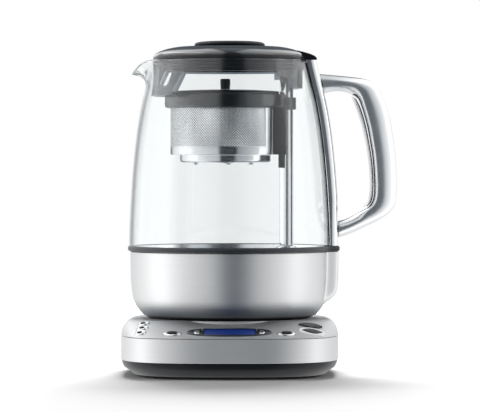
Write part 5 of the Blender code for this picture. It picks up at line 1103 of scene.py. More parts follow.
class TEA_OT_bowl(Operator):
    """Steel bowl with its rib, the seal, the plate and the underside cover"""
    bl_idname = "tea.bowl"
    bl_label = "Bowl"

    def execute(self, context):
        jug = context.scene.tea_jug
        self.add_bowl(jug)
        self.add_seal(jug)
        edge = glass_radius(GLASS_LOW.z, jug) - jug.glass_wall - GAP
        rim = SEAL_HIGH.z - 0.5 * MM
        profile = ((0.0, PLATE_LOW.z), (edge, PLATE_LOW.z, 0.5 * MM), (edge, rim, 0.25 * MM),
                   (edge - PLATE_LIP, rim, 0.25 * MM), (edge - PLATE_LIP, PLATE_HIGH.z, 1.0 * MM),
                   (0.0, PLATE_HIGH.z))
        plate = new_object("plate", turned(profile, 160))
        post = context.scene.tea_basket.post_radius + GAP
        combine(plate, rod(post, PLATE_LOW.z - OVERRUN, PLATE_HIGH.z + OVERRUN, 48, post_x()), "DIFFERENCE")
        finish_piece(plate, "jug", "plate_steel", FINISHES["plate"], "heating_plate")
        cover = ((COVER_HOLE, COVER_LOW.z), (jug.cover_radius - 4.0 * MM, COVER_LOW.z, 0.8 * MM),
                 (jug.cover_radius, COVER_LOW.z + 1.6 * MM, 0.5 * MM), (jug.cover_radius, COVER_HIGH.z),
                 (COVER_HOLE, COVER_HIGH.z))
        add_piece("cover", turned(cover, 160), "jug", "cover_black", FINISHES["cover"], "underside_cover")
        return {"FINISHED"}

    def add_bowl(self, jug):
        """Outer wall with the rib, its bright top edge, and the inner wall down to the ledge."""
        height = BOWL_HIGH.z - BOWL_LOW.z
        shares = even(0.0, 0.50, 32) + [0.6, 0.7, 0.8, 0.9, 0.97]
        loops = [self.bowl_loop(share, 0.0, jug) for share in shares]
        for inset, drop in ((0.0, 0.7), (0.12, 0.3), (0.45, 0.05), (0.7, 0.0)):
            loops.append(self.bowl_loop(1.0 - drop * MM / height, inset * MM, jug))
        ledge = PLATE_LOW.z - GAP
        radius = bowl_radius(BOWL_HIGH.z, jug) - jug.bowl_wall
        reach = rib_reach(BOWL_HIGH.z, jug) - jug.bowl_wall
        loops.append(ribbed_loop(radius, reach, BOWL_HIGH.z, jug))
        loops.append(ribbed_loop(radius, reach, ledge, jug))
        for z in (ledge, ledge - BOWL_LEDGE):
            loops.append(ribbed_loop(radius - BOWL_LEDGE_WIDTH, 0.0, z, jug))
        loops.append(ribbed_loop(radius, reach, ledge - BOWL_LEDGE, jug))
        for share in even(0.80, 0.0, 20):
            loops.append(self.bowl_loop(share, jug.bowl_wall, jug))
        bowl = new_object("bowl", skin(loops, shut=True))
        bowl.data.set_sharp_from_angle(angle=math.radians(75))
        finish_piece(bowl, "jug", "bowl_steel", FINISHES["bowl"], "steel_bowl")

    def bowl_loop(self, share, inset, jug):
        """One loop of the bowl with its rib."""
        z = BOWL_LOW.z + share * (BOWL_HIGH.z - BOWL_LOW.z)
        return ribbed_loop(bowl_radius(z, jug) - inset, rib_reach(z, jug) - inset, z, jug)

    def add_seal(self, jug):
        """The black seal, rounded outside and hollow for the glass's foot."""
        outer = jug.bowl_radius + jug.seal_proud
        reach = rib_reach(BOWL_HIGH.z, jug) + jug.seal_proud / 2
        low, high = SEAL_LOW.z, SEAL_HIGH.z
        loops = [ribbed_loop(outer - inset, reach - inset, z, jug)
                 for inset, z in rounded_side(SEAL_ROUNDING, low, high)]
        bed = low + SEAL_BED
        foot = glass_radius(GLASS_LOW.z, jug)
        lip = foot - jug.glass_wall
        for radius, z in ((glass_radius(high, jug) + GAP, high), (foot + GAP, bed), (lip, bed), (lip, low)):
            loops.append(ribbed_loop(radius, 0.0, z, jug))
        add_piece("seal", skin(loops, shut=True), "jug", "seal_rubber", FINISHES["rubber"], "glass_seal")


class TEA_OT_handle(Operator):
    """Spine up the glass, handle and its liner"""
    bl_idname = "tea.handle"
    bl_label = "Handle"

    def execute(self, context):
        jug = context.scene.tea_jug
        self.add_spine(jug)
        shell = self.handle_loops(HANDLE_STATIONS, jug, jug.handle_width, 0.0, 3, 0.03)
        handle = new_object("handle", skin(shell))
        finish_piece(handle, "jug", "handle_chrome", FINISHES["handle"], "handle_shell")
        liner = self.handle_loops(LINER_STATIONS, jug, jug.handle_width * LINER_WIDTH_SHARE, GAP, 4)
        add_piece("liner", skin(liner), "jug", "liner_silver", FINISHES["liner"], "handle_liner")
        return {"FINISHED"}

    def add_spine(self, jug):
        """The silver channel, open towards the glass."""
        half = jug.rib_half_width
        wall = SPINE_WALL
        corner = jug.spine_corner
        rows = []
        for z in even(SEAL_HIGH.z + GAP, GLASS_HIGH.z, 32):
            outer = spine_face(z, jug)
            edge = math.sqrt((glass_radius(z, jug) + SPINE_GLASS_GAP) ** 2 - (half - wall) ** 2)
            arc = [(outer - corner * (1 - math.sin(angle)), half - corner * (1 - math.cos(angle)))
                   for angle in even(0.0, math.pi / 2, 6)]
            side = [(edge, half - 0.3 * MM), (edge + 0.3 * MM, half)] + arc
            channel = [(outer - wall, half - wall), (edge, half - wall)]
            outline = [(x, -y) for x, y in side] + [(x, y) for x, y in reversed(side)]
            outline += [(x, y) for x, y in reversed(channel)] + [(x, -y) for x, y in channel]
            rows.append((outline, z))
        add_piece("spine", skin(loops_of(rows)), "jug", "spine_silver", FINISHES["spine"], "spine_housing")
        rows = []
        for z in even(SEAL_HIGH.z + GAP, GLASS_HIGH.z - 2.0 * MM, 32):
            lie = glass_radius(z, jug) + BACKING_GAP
            reach = math.asin((half - wall - GAP) / lie)
            back = arc_points(lie + BACKING_WALL, reach, -reach, 16)
            rows.append((arc_points(lie, -reach, reach, 16) + back, z))
        add_piece("spine_backing", skin(loops_of(rows)), "jug", "seal_rubber", FINISHES["tea_lid"])

    def handle_point(self, reach_share, rise_share, jug):
        """A point of the handle's side view, from the spine's face at share 0 to the reach at share 1."""
        low = GLASS_LOW.z + HANDLE_DROP_SHARE * (GLASS_HIGH.z - GLASS_LOW.z)
        z = low + rise_share * (GLASS_HIGH.z - HANDLE_TOP_DROP - low)
        start = spine_face(z, jug) + GAP
        return Vector((start + reach_share * (HANDLE_HIGH.x - AXIS_X - GAP / 4 - start), 0.0, z))

    def handle_loops(self, stations, jug, width, sink, splits, swell=0.0):
        """Rounded cross sections along a curve through the stations, thinner towards the outer edge."""
        loops = []
        for outer_reach, outer_rise, inner_reach, inner_rise in through(stations, splits):
            outer = self.handle_point(outer_reach, outer_rise, jug)
            inner = self.handle_point(inner_reach, inner_rise, jug)
            across = (outer - inner).normalized()
            outer = outer - across * sink
            middle = (outer + inner) / 2
            half = (outer - inner).length / 2
            fullness = ease((outer_reach - 0.45) / 0.4) if swell else 0.0
            loops.append([middle + across * x + Vector((0.0, y * (1.0 - swell * (1 + x / half) ** 2), 0.0))
                          for x, y in self.section(half, width / 2, fullness)])
        return loops

    def section(self, half, half_width, fullness):
        """A cross section, squarer and with its crest nearer the inner edge as its fullness goes to 1."""
        crest = -0.6 * fullness
        points = []
        for x, y in oval(1.0, 1.0, 2.0, 64):
            power = 2 / (2.1 + (0.7 if x > 0.0 else 1.5) * fullness)
            along = abs(x) ** power
            across = crest + along * (1.0 - crest) if x > 0.0 else crest - along * (1.0 + crest)
            points.append((half * across, half_width * signed_power(y, power)))
        return points


def through(rows, splits):
    """Rows of numbers with more rows between them, along a smooth curve through each column."""
    fine = []
    last = len(rows) - 1
    for index in range(last):
        before, here, there, after = (rows[max(0, index - 1)], rows[index], rows[index + 1],
                                      rows[min(last, index + 2)])
        for split in range(splits):
            t = split / splits
            fine.append([
                0.5 * (2 * b + (c - a) * t + (2 * a - 5 * b + 4 * c - d) * t * t
                       + (3 * b - a - 3 * c + d) * t ** 3)
                for a, b, c, d in zip(before, here, there, after)])
    fine.append(list(rows[-1]))
    return fine


def post_x():
    """Place of the post's axis from the jug's axis."""
    return (POST_LOW.x + POST_HIGH.x) / 2 - AXIS_X


class TEA_OT_post(Operator):
    """Polished post and its foot"""
    bl_idname = "tea.post"
    bl_label = "Post"

    def execute(self, context):
        radius = context.scene.tea_basket.post_radius
        bore = radius - POST_WALL
        roof = POST_HIGH.z - POST_ROOF
        profile = ((bore, POST_LOW.z), (radius, POST_LOW.z), (radius, POST_HIGH.z, 1.2 * MM),
                   (0.0, POST_HIGH.z), (0.0, roof), (bore, roof))
        add_piece("post", turned(profile, 64, post_x()), "jug", "post_steel", FINISHES["post"], "basket_post")
        foot = (POST_FOOT_HIGH.x - POST_FOOT_LOW.x) / 2
        low, high = POST_FOOT_LOW.z, POST_FOOT_HIGH.z
        ring = ((radius + GAP, low), (foot, low), (foot, (low + high) / 2, 0.8 * MM),
                (radius + 1.0 * MM, high, 0.3 * MM), (radius + GAP, high))
        add_piece("post_collar", turned(ring, 64, post_x()), "jug", "post_foot_grey", FINISHES["basket"],
                  "post_foot")
        return {"FINISHED"}


# Basket


BASKET_LIP = 9.5 * MM
BASKET_FOOT = 1.2 * MM
BASKET_ROUNDING = 0.7 * MM
FLOOR_RADIUS = 36.1 * MM
FLOOR_HEIGHT = 5.7 * MM
FLOOR_WALL = 1.2 * MM
RIVET_RADIUS = 6.4 * MM
RIVET_HEIGHT = 0.7 * MM
LUG_ANGLES = (205, 320, 85)
LUG_RADIUS = 2.2 * MM
LUG_HEIGHT = 1.8 * MM
LUG_RING_SHARE = 0.72
ARM_LENGTH = 14.0 * MM
ARM_HALF_WIDTH = 9.0 * MM
TAIL_THICKNESS = 4.4 * MM
TAIL_HALF_WIDTH = 7.4 * MM


def basket_outline(inset, sizes):
    """The basket's round outline with its flat at the post, drawn in by an inset."""
    radius = sizes.radius - inset
    half = math.acos((sizes.flat - inset) / radius)
    return arc_points(radius, half, FULL_TURN - half, 120, sizes.centre)


class TEA_OT_basket(Operator):
    """Perforated basket with its floor, rim ring, arm, lid and knob"""
    bl_idname = "tea.basket"
    bl_label = "Basket"

    def execute(self, context):
        sizes = context.scene.tea_basket
        self.add_wall(sizes)
        self.add_mesh(sizes)
        self.add_floor(sizes)
        self.add_rim(sizes)
        self.add_tea_lid(sizes)
        return {"FINISHED"}

    def mesh_heights(self, sizes):
        """Lowest and highest height of the holes."""
        return WALL_LOW.z + sizes.mesh_low, WALL_HIGH.z - sizes.mesh_high

    def mesh_start(self, sizes):
        """The angle at which the holes start beside the flat."""
        return math.acos(sizes.flat / sizes.radius) + sizes.mesh_side / sizes.radius

    def add_wall(self, sizes):
        """Plain steel: the foot with its rolled lip, the top band and the flat side between them."""
        low, high = self.mesh_heights(sizes)
        wall = sizes.wall
        outer = basket_outline(0.0, sizes)
        inner = basket_outline(wall, sizes)
        edge = basket_outline(BASKET_LIP, sizes)
        foot = WALL_LOW.z
        rounded = BASKET_ROUNDING
        rows = [(inner, low), (outer, low), (outer, foot + rounded),
                (basket_outline(rounded * 0.3, sizes), foot + rounded * 0.3),
                (basket_outline(rounded, sizes), foot), (edge, foot), (edge, foot + BASKET_FOOT),
                (inner, foot + BASKET_FOOT)]
        wall_piece = new_object("basket_wall", skin(loops_of(rows), shut=True))
        rows = [(inner, high), (outer, high), (outer, WALL_HIGH.z), (inner, WALL_HIGH.z)]
        combine(wall_piece, skin(loops_of(rows), shut=True), "UNION")
        start = self.mesh_start(sizes)
        half = math.acos(sizes.flat / sizes.radius)
        side = arc_points(sizes.radius, start, half, 6, sizes.centre)
        back = arc_points(sizes.radius - wall, half, start, 6, sizes.centre)
        outline = side + [(x, -y) for x, y in reversed(side)] + [(x, -y) for x, y in reversed(back)] + back
        strip = prism(outline, low - 0.2 * MM, high + 0.2 * MM)
        combine(wall_piece, strip, "UNION")
        finish_piece(wall_piece, "basket", "basket_steel", FINISHES["basket"], "basket_body")

    def add_mesh(self, sizes):
        """The perforated sheet: a diagonal grid of small holes wrapped round the basket."""
        low, high = self.mesh_heights(sizes)
        radius = sizes.radius - 0.05 * MM
        start = self.mesh_start(sizes)
        width = (FULL_TURN - 2 * start) * radius
        height = high - low
        cells = int((width + height) / sizes.mesh_pitch / math.sqrt(2)) + 4
        size = cells * sizes.mesh_pitch / 2
        bm = bmesh.new()
        bmesh.ops.create_grid(bm, x_segments=cells, y_segments=cells, size=size,
                              matrix=Matrix.Rotation(math.pi / 4, 4, "Z"))
        for normal, reach in (((1.0, 0.0, 0.0), width / 2), ((-1.0, 0.0, 0.0), width / 2),
                              ((0.0, 1.0, 0.0), height / 2), ((0.0, -1.0, 0.0), height / 2)):
            bmesh.ops.bisect_plane(bm, geom=bm.verts[:] + bm.edges[:] + bm.faces[:],
                                   plane_co=Vector(normal) * reach, plane_no=normal, clear_outer=True)
        whole = [face for face in bm.faces if face.calc_area() > 0.97 * sizes.mesh_pitch ** 2]
        bmesh.ops.inset_individual(bm, faces=whole, thickness=sizes.mesh_web, use_even_offset=True)
        sides = {edge for face in whole for edge in face.edges}
        middles = {face: face.calc_center_median() for face in whole}
        corners = {vert for face in whole for vert in face.verts}
        made = bmesh.ops.subdivide_edges(bm, edges=list(sides), cuts=1)["geom_inner"]
        owner = {}
        for face in whole:
            for vert in face.verts:
                owner[vert] = middles[face]
        for item in made:
            if isinstance(item, bmesh.types.BMVert) and item not in corners and item in owner:
                item.co = owner[item] + (item.co - owner[item]) * 1.25
        bmesh.ops.delete(bm, geom=whole, context="FACES")
        for vert in bm.verts:
            angle = start + (vert.co.x + width / 2) / radius
            vert.co = (sizes.centre + radius * math.cos(angle), radius * math.sin(angle),
                       (low + high) / 2 + vert.co.y)
        mesh = new_object("basket_mesh", tidy(bm))
        solid = mesh.modifiers.new("Thickness", "SOLIDIFY")
        solid.thickness = sizes.wall * 0.8
        solid.offset = -1.0
        finish_piece(mesh, "basket", "basket_steel", FINISHES["basket"])

    def add_floor(self, sizes):
        """The stepped floor, its three lugs and the rivet disc."""
        top = FLOOR_HIGH.z
        low = top - FLOOR_HEIGHT
        plate = low + FLOOR_WALL
        inner = FLOOR_RADIUS - FLOOR_WALL
        rivet = low - RIVET_HEIGHT
        profile = ((0.0, rivet), (RIVET_RADIUS, rivet, 0.3 * MM), (RIVET_RADIUS, low), (inner, low, 0.6 * MM),
                   (FLOOR_RADIUS, plate, 0.6 * MM), (FLOOR_RADIUS, top), (inner, top), (inner, plate),
                   (0.0, plate))
        floor = new_object("basket_base", turned(profile, 120, sizes.centre))
        foot = low - LUG_HEIGHT
        for angle in [math.radians(degrees) for degrees in LUG_ANGLES]:
            lug = turned(((0.0, foot), (LUG_RADIUS, foot, 0.5 * MM), (LUG_RADIUS, low + 0.6 * MM),
                          (0.0, low + 0.6 * MM)), 24)
            ring = LUG_RING_SHARE * FLOOR_RADIUS
            place(lug, at(sizes.centre + ring * math.cos(angle), ring * math.sin(angle)))
            combine(floor, lug, "UNION")
        finish_piece(floor, "basket", "basket_floor_steel", FINISHES["basket"], "basket_floor")

    def add_rim(self, sizes):
        """Rim ring, collar round the post and the arm, in one moulding."""
        top = ARM_HIGH.z
        low = top - sizes.ring_height
        arm_low = ARM_LOW.z + 10.4 * MM
        radius = sizes.ring_radius
        ring = ((0.0, low), (radius - 1.5 * MM, low, 1.2 * MM), (radius, low + 1.5 * MM, 1.0 * MM),
                (radius, top, 0.7 * MM), (0.0, top))
        rim = new_object("basket_ring", turned(ring, 160, sizes.centre))
        collar_top = top - 2.4 * MM
        collar = ((0.0, collar_top - 9.6 * MM), (sizes.collar_radius, collar_top - 9.6 * MM, 0.6 * MM),
                  (sizes.collar_radius, collar_top, 0.6 * MM), (0.0, collar_top))
        combine(rim, turned(collar, 64, post_x()), "UNION")
        reach = post_x() - 0.2 * MM
        arm = block((reach - ARM_LENGTH, -ARM_HALF_WIDTH, arm_low),
                    (reach, ARM_HALF_WIDTH, low + sizes.ring_height / 4), 0.8 * MM)
        combine(rim, arm, "UNION")
        tail_reach = post_x() - 2.1 * MM
        tail = block((tail_reach - TAIL_THICKNESS, -TAIL_HALF_WIDTH, ARM_LOW.z),
                     (tail_reach, TAIL_HALF_WIDTH, arm_low + 2.7 * MM), 0.6 * MM)
        combine(rim, tail, "UNION")
        bore = prism(basket_outline(-GAP, sizes), ARM_LOW.z - OVERRUN, top + OVERRUN)
        combine(rim, bore, "DIFFERENCE")
        hole = rod(sizes.post_radius + RUN_GAP, ARM_LOW.z - OVERRUN, top + OVERRUN, 48, post_x())
        combine(rim, hole, "DIFFERENCE")
        low_corner, high_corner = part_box("basket_magnet")
        pocket = block((low_corner.x - AXIS_X - OVERRUN, low_corner.y - GAP, low_corner.z - GAP),
                       (high_corner.x - AXIS_X + GAP, high_corner.y + GAP, high_corner.z + GAP))
        combine(rim, pocket, "DIFFERENCE")
        finish_piece(rim, "basket", "basket_rim_grey", FINISHES["slate"], "basket_rim")

    def add_tea_lid(self, sizes):
        """The domed lid on the basket, with a flat that clears the post, and its knob."""
        low, high = TEA_LID_LOW.z, TEA_LID_HIGH.z
        radius = sizes.ring_radius - 0.7 * MM
        crown = [(radius * math.sin(angle), low + 1.0 * MM + (high - low - 1.0 * MM) * math.cos(angle))
                 for angle in even(0.0, math.pi / 2, 16)]
        lid = new_object("tea_lid", turned(crown + [(radius, low), (0.0, low)], 160, sizes.centre))
        flat = TEA_LID_HIGH.x - AXIS_X
        cutter = block((flat, -radius, low - OVERRUN), (flat + radius, radius, high + OVERRUN))
        combine(lid, cutter, "DIFFERENCE")
        finish_piece(lid, "basket_lid", "basket_lid_grey", FINISHES["tea_lid"], "basket_lid")
        foot, top = KNOB_LOW.z, KNOB_HIGH.z
        rise = top - foot
        wide = (KNOB_HIGH.x - KNOB_LOW.x) / 2
        knob = ((0.0, foot), (wide * 0.94, foot, 0.3 * MM), (wide * 0.94, foot + rise / 4, 0.5 * MM),
                (wide, foot + rise / 2, 0.5 * MM), (wide, top, 1.1 * MM), (0.0, top))
        add_piece("tea_lid_knob", turned(knob, 48, sizes.centre), "basket_lid", "knob_black",
                  FINISHES["knob"], "basket_knob")


# Jug lid


DOME_OUTER_SHARES = ((0.0, 1.0), (0.28, 1.0), (0.45, 0.985), (0.674, 0.90), (0.80, 0.735), (0.89, 0.53),
                     (0.95, 0.33), (0.983, 0.12), (0.988, 0.0))
DOME_INNER_SHARES = ((0.948, 0.0), (0.93, 0.13), (0.87, 0.30), (0.78, 0.48), (0.66, 0.63), (0.45, 0.72),
                     (0.0, 0.72))
TAIL_SHARES = ((0.0, 0.0), (0.0, 0.67), (0.13, 0.62), (0.40, 0.53), (0.65, 0.42), (0.85, 0.30), (0.96, 0.18),
               (1.0, 0.05), (1.0, 0.0))
TAIL_START_SHARE = 0.87
GRIP_SHARES = ((0.97, 0.55), (0.92, 0.72), (0.84, 0.84), (0.70, 0.94), (0.50, 0.985), (0.25, 1.0), (0.0, 1.0))
LID_RIM_HEIGHT = 2.7 * MM
# The skirt's two tabs: edges as shares of its radius, drops from its top
SPOUT_TAB_FOOT_SHARE = 0.74
SPOUT_TAB_TOP_SHARE = 0.616
BACK_STEP_SHARE = 0.626
BACK_TAB_SHARE = 0.81
BACK_STEP_DROP = 14.5 * MM
BACK_TAB_DROP = 22.5 * MM
SPOUT_TAB_LEAN = 0.24
# Corners of the slot in the tab at the spout, in millimetres from the axis and the skirt's top
TAB_SLOT = ((-52.4, -20.8), (-46.6, -20.8), (-43.6, -8.6), (-49.4, -8.6))
TAB_SLOT_ROUNDING = 1.4 * MM
GASKET_RIBS = 3
GASKET_VALLEY = 0.25 * MM
GASKET_CREST = 0.9 * MM


class TEA_OT_lid(Operator):
    """Glossy dome, grip, rim with its tail, skirt and gasket"""
    bl_idname = "tea.lid"
    bl_label = "Lid"

    def execute(self, context):
        sizes = context.scene.tea_lid
        jug = context.scene.tea_jug
        self.add_dome(sizes)
        self.add_rim(sizes, jug)
        self.add_skirt(sizes)
        return {"FINISHED"}

    def add_dome(self, sizes):
        """The glossy dome, notched for the tail, and the grip disc on it."""
        radius = self.lid_radius()
        low, rise = CAP_LOW.z, CAP_HIGH.z - CAP_LOW.z
        outer = [(radius * step, low + rise * smooth_value(DOME_OUTER_SHARES, step))
                 for step in even(0.0, 0.80, 16) + even(0.82, 0.98, 16)]
        inner = [(radius * across, low + rise * up) for across, up in DOME_INNER_SHARES]
        cap = new_object("dome", turned(outer + [(radius * 0.988, low)] + inner, sizes.turn_steps))
        half = sizes.tail_half_width + GAP
        start = TAIL_START_SHARE * radius - GAP
        notch = block((start, -half, RIM_LOW.z), (radius + OVERRUN, half, CAP_HIGH.z + OVERRUN))
        combine(cap, notch, "DIFFERENCE")
        finish_piece(cap, "lid", "lid_black", FINISHES["gloss"], "lid_cap")
        wide = (GRIP_HIGH.x - GRIP_LOW.x) / 2
        low, high = GRIP_LOW.z, GRIP_HIGH.z
        rise = high - low
        profile = [(0.0, low), (wide, low, 0.3 * MM), (wide, low + rise * 0.30, 0.6 * MM)]
        profile += [(wide * across, low + rise * up) for across, up in GRIP_SHARES]
        add_piece("grip", turned(profile, 120), "lid", "lid_grip_black", FINISHES["grip"], "lid_grip")

    def lid_radius(self):
        """The lid's outer radius."""
        return (CAP_HIGH.y - CAP_LOW.y) / 2

    def add_rim(self, sizes, jug):
        """The black ring under the dome, with the tail over the spine's top."""
        low = RIM_LOW.z
        top = low + LID_RIM_HEIGHT
        radius = self.lid_radius()
        profile = ((sizes.rim_inner, low), (radius, low, 0.6 * MM), (radius, top, 0.6 * MM),
                   (sizes.rim_inner, top))
        rim = new_object("rim", turned(profile, sizes.turn_steps))
        start = TAIL_START_SHARE * radius
        reach = spine_face(GLASS_HIGH.z, jug) - start + GAP
        height = CAP_HIGH.z - low - GAP
        outline = [(start + reach * along, low + 0.3 * MM + height * up) for along, up in TAIL_SHARES]
        tail = slab(outline, sizes.tail_half_width)
        soften(tail, [edge for edge in tail.edges if edge.calc_face_angle(0.0) > math.radians(60)], 0.5 * MM)
        combine(rim, tail, "UNION")
        finish_piece(rim, "lid", "lid_black", FINISHES["rim"], "lid_rim")

    def add_skirt(self, sizes):
        """The see-through skirt with its two tabs, and the ribbed gasket round it."""
        radius = sizes.skirt_radius
        top, low = SKIRT_HIGH.z, SKIRT_LOW.z
        skirt = new_object("skirt", tube(radius - sizes.skirt_wall, radius, low, top, sizes.turn_steps))
        floor = low - OVERRUN
        band = top - sizes.skirt_band
        step, tab = radius * BACK_STEP_SHARE, radius * BACK_TAB_SHARE
        step_foot, tab_foot = top - BACK_STEP_DROP, top - BACK_TAB_DROP
        far = radius + OVERRUN
        outline = ((-radius * SPOUT_TAB_FOOT_SHARE, floor), (-radius * SPOUT_TAB_TOP_SHARE, band),
                   (step, band), (step, step_foot), (tab, step_foot),
                   (tab, tab_foot), (far, tab_foot), (far, floor))
        combine(skirt, slab(outline, far), "DIFFERENCE")
        hole = slab([(x * MM, top + z * MM) for x, z in TAB_SLOT], far)
        long_edges = [edge for edge in hole.edges if abs(edge.verts[0].co.y - edge.verts[1].co.y) > far]
        soften(hole, long_edges, TAB_SLOT_ROUNDING, 6)
        combine(skirt, hole, "DIFFERENCE")
        self.lean_tab(skirt, sizes, band)
        finish_piece(skirt, "lid", "lid_skirt_smoke", FINISHES["smoke"], "lid_skirt")
        self.add_gasket(sizes, radius)

    def lean_tab(self, skirt, sizes, band):
        """Leans the tab at the spout outwards below the plain band, along the glass."""
        for vert in skirt.data.vertices:
            depth = max(0.0, band - vert.co.z)
            if vert.co.x < AXIS_X - sizes.skirt_radius / 2:
                reach = 1.0 + depth * SPOUT_TAB_LEAN / sizes.skirt_radius
                vert.co.x = AXIS_X + (vert.co.x - AXIS_X) * reach
                vert.co.y *= reach

    def add_gasket(self, sizes, radius):
        """The ribbed gasket round the skirt."""
        inner = radius + GAP
        low, high = GASKET_LOW.z, GASKET_HIGH.z
        pitch = (high - low) / GASKET_RIBS
        profile = [(inner, high), (inner, low)]
        for rib in range(GASKET_RIBS):
            profile.append((inner + GASKET_VALLEY, low + rib * pitch))
            profile.append((inner + GASKET_CREST, low + (rib + 0.5) * pitch, 0.3 * MM))
        profile.append((inner + GASKET_VALLEY, high))
        add_piece("gasket", turned(profile, sizes.turn_steps), "lid", "gasket_rubber", FINISHES["gasket"],
                  "lid_gasket")


# Stage


# Brightness of the surroundings by azimuth from the front in degrees, as the outer surfaces mirror them
LOW_LEVELS = ((-180, 0.8), (-150, 1.1), (-127, 1.4), (-110, 1.5), (-102, 1.95), (-80, 1.95), (-70, 1.45),
              (-60, 1.25), (-49, 1.1), (-30, 0.92), (-15, 0.85), (-7, 0.13), (18, 0.13), (25, 0.70),
              (45, 1.0), (62, 1.15), (72, 1.3), (77, 1.75), (92, 1.75), (100, 1.4), (125, 1.2), (150, 1.0),
              (180, 0.8))
# The same higher up, where the glossy dome mirrors what is behind it
MIDDLE_LEVELS = ((-180, 0.12), (-173, 0.15), (-167, 1.4), (-155, 1.6), (-145, 0.8), (-127, 1.2), (-110, 1.5),
                 (-102, 1.95), (-80, 1.95), (-70, 1.45), (-49, 1.05), (-15, 0.80), (-7, 0.12), (18, 0.12),
                 (25, 0.60), (62, 1.1), (72, 1.3), (77, 1.75), (92, 1.75), (100, 1.4), (125, 1.2), (145, 0.8),
                 (155, 1.6), (167, 1.4), (173, 0.15), (180, 0.12))
# The same as glass bends it and as the pieces inside the glass mirror it
INNER_LEVELS = ((-180, 1.0), (-171, 1.0), (-164, 0.20), (-150, 0.22), (-140, 1.1), (-127, 1.4), (-110, 1.6),
                (-102, 1.9), (-80, 1.9), (-70, 1.4), (-49, 1.1), (-17, 0.85), (-9, 0.06), (22, 0.06),
                (29, 0.55), (45, 0.75), (62, 0.9), (74, 1.1), (79, 2.0), (92, 2.0), (100, 1.4), (125, 1.2),
                (140, 1.0), (150, 0.22), (164, 0.20), (171, 1.0), (180, 1.0))
# Brightness overhead, by the sideways part of the direction from -1 at the left to 1 at the right
TOP_LEVELS = ((-1.0, 1.0), (-0.50, 1.8), (-0.45, 4.5), (-0.40, 4.5), (-0.37, 3.0), (-0.33, 1.7), (-0.16, 1.5),
              (-0.08, 1.2), (-0.05, 0.30), (0.05, 0.30), (0.10, 1.1), (0.22, 1.4), (0.36, 1.6), (0.42, 1.8),
              (1.0, 1.0))
# Parts of a direction where one table gives way to the next: upward, and from front to back
LOW_END = (0.05, 0.12)
TOP_START = (0.40, 0.48)
TOP_FRONT = (-0.20, -0.10)
TOP_BACK = (0.76, 0.84)
DARK_TINT = (0.84, 0.98, 1.12)
FLOOR_HALF_SIZE = 1.4


def level_ramp(tree, value, levels):
    """A colour ramp over a table of (place, level); its darks are bluish."""
    start, end = levels[0][0], levels[-1][0]
    ramp = add_node(tree, "ValToRGB", {"Fac": value})
    elements = ramp.color_ramp.elements
    while len(elements) < len(levels):
        elements.new(0.5)
    for element, (spot, level) in zip(elements, levels):
        share = min(1.0, level)
        element.position = (spot - start) / (end - start)
        element.color = (*[level * (channel + (1.0 - channel) * share) for channel in DARK_TINT], 1.0)
    return ramp.outputs["Color"]


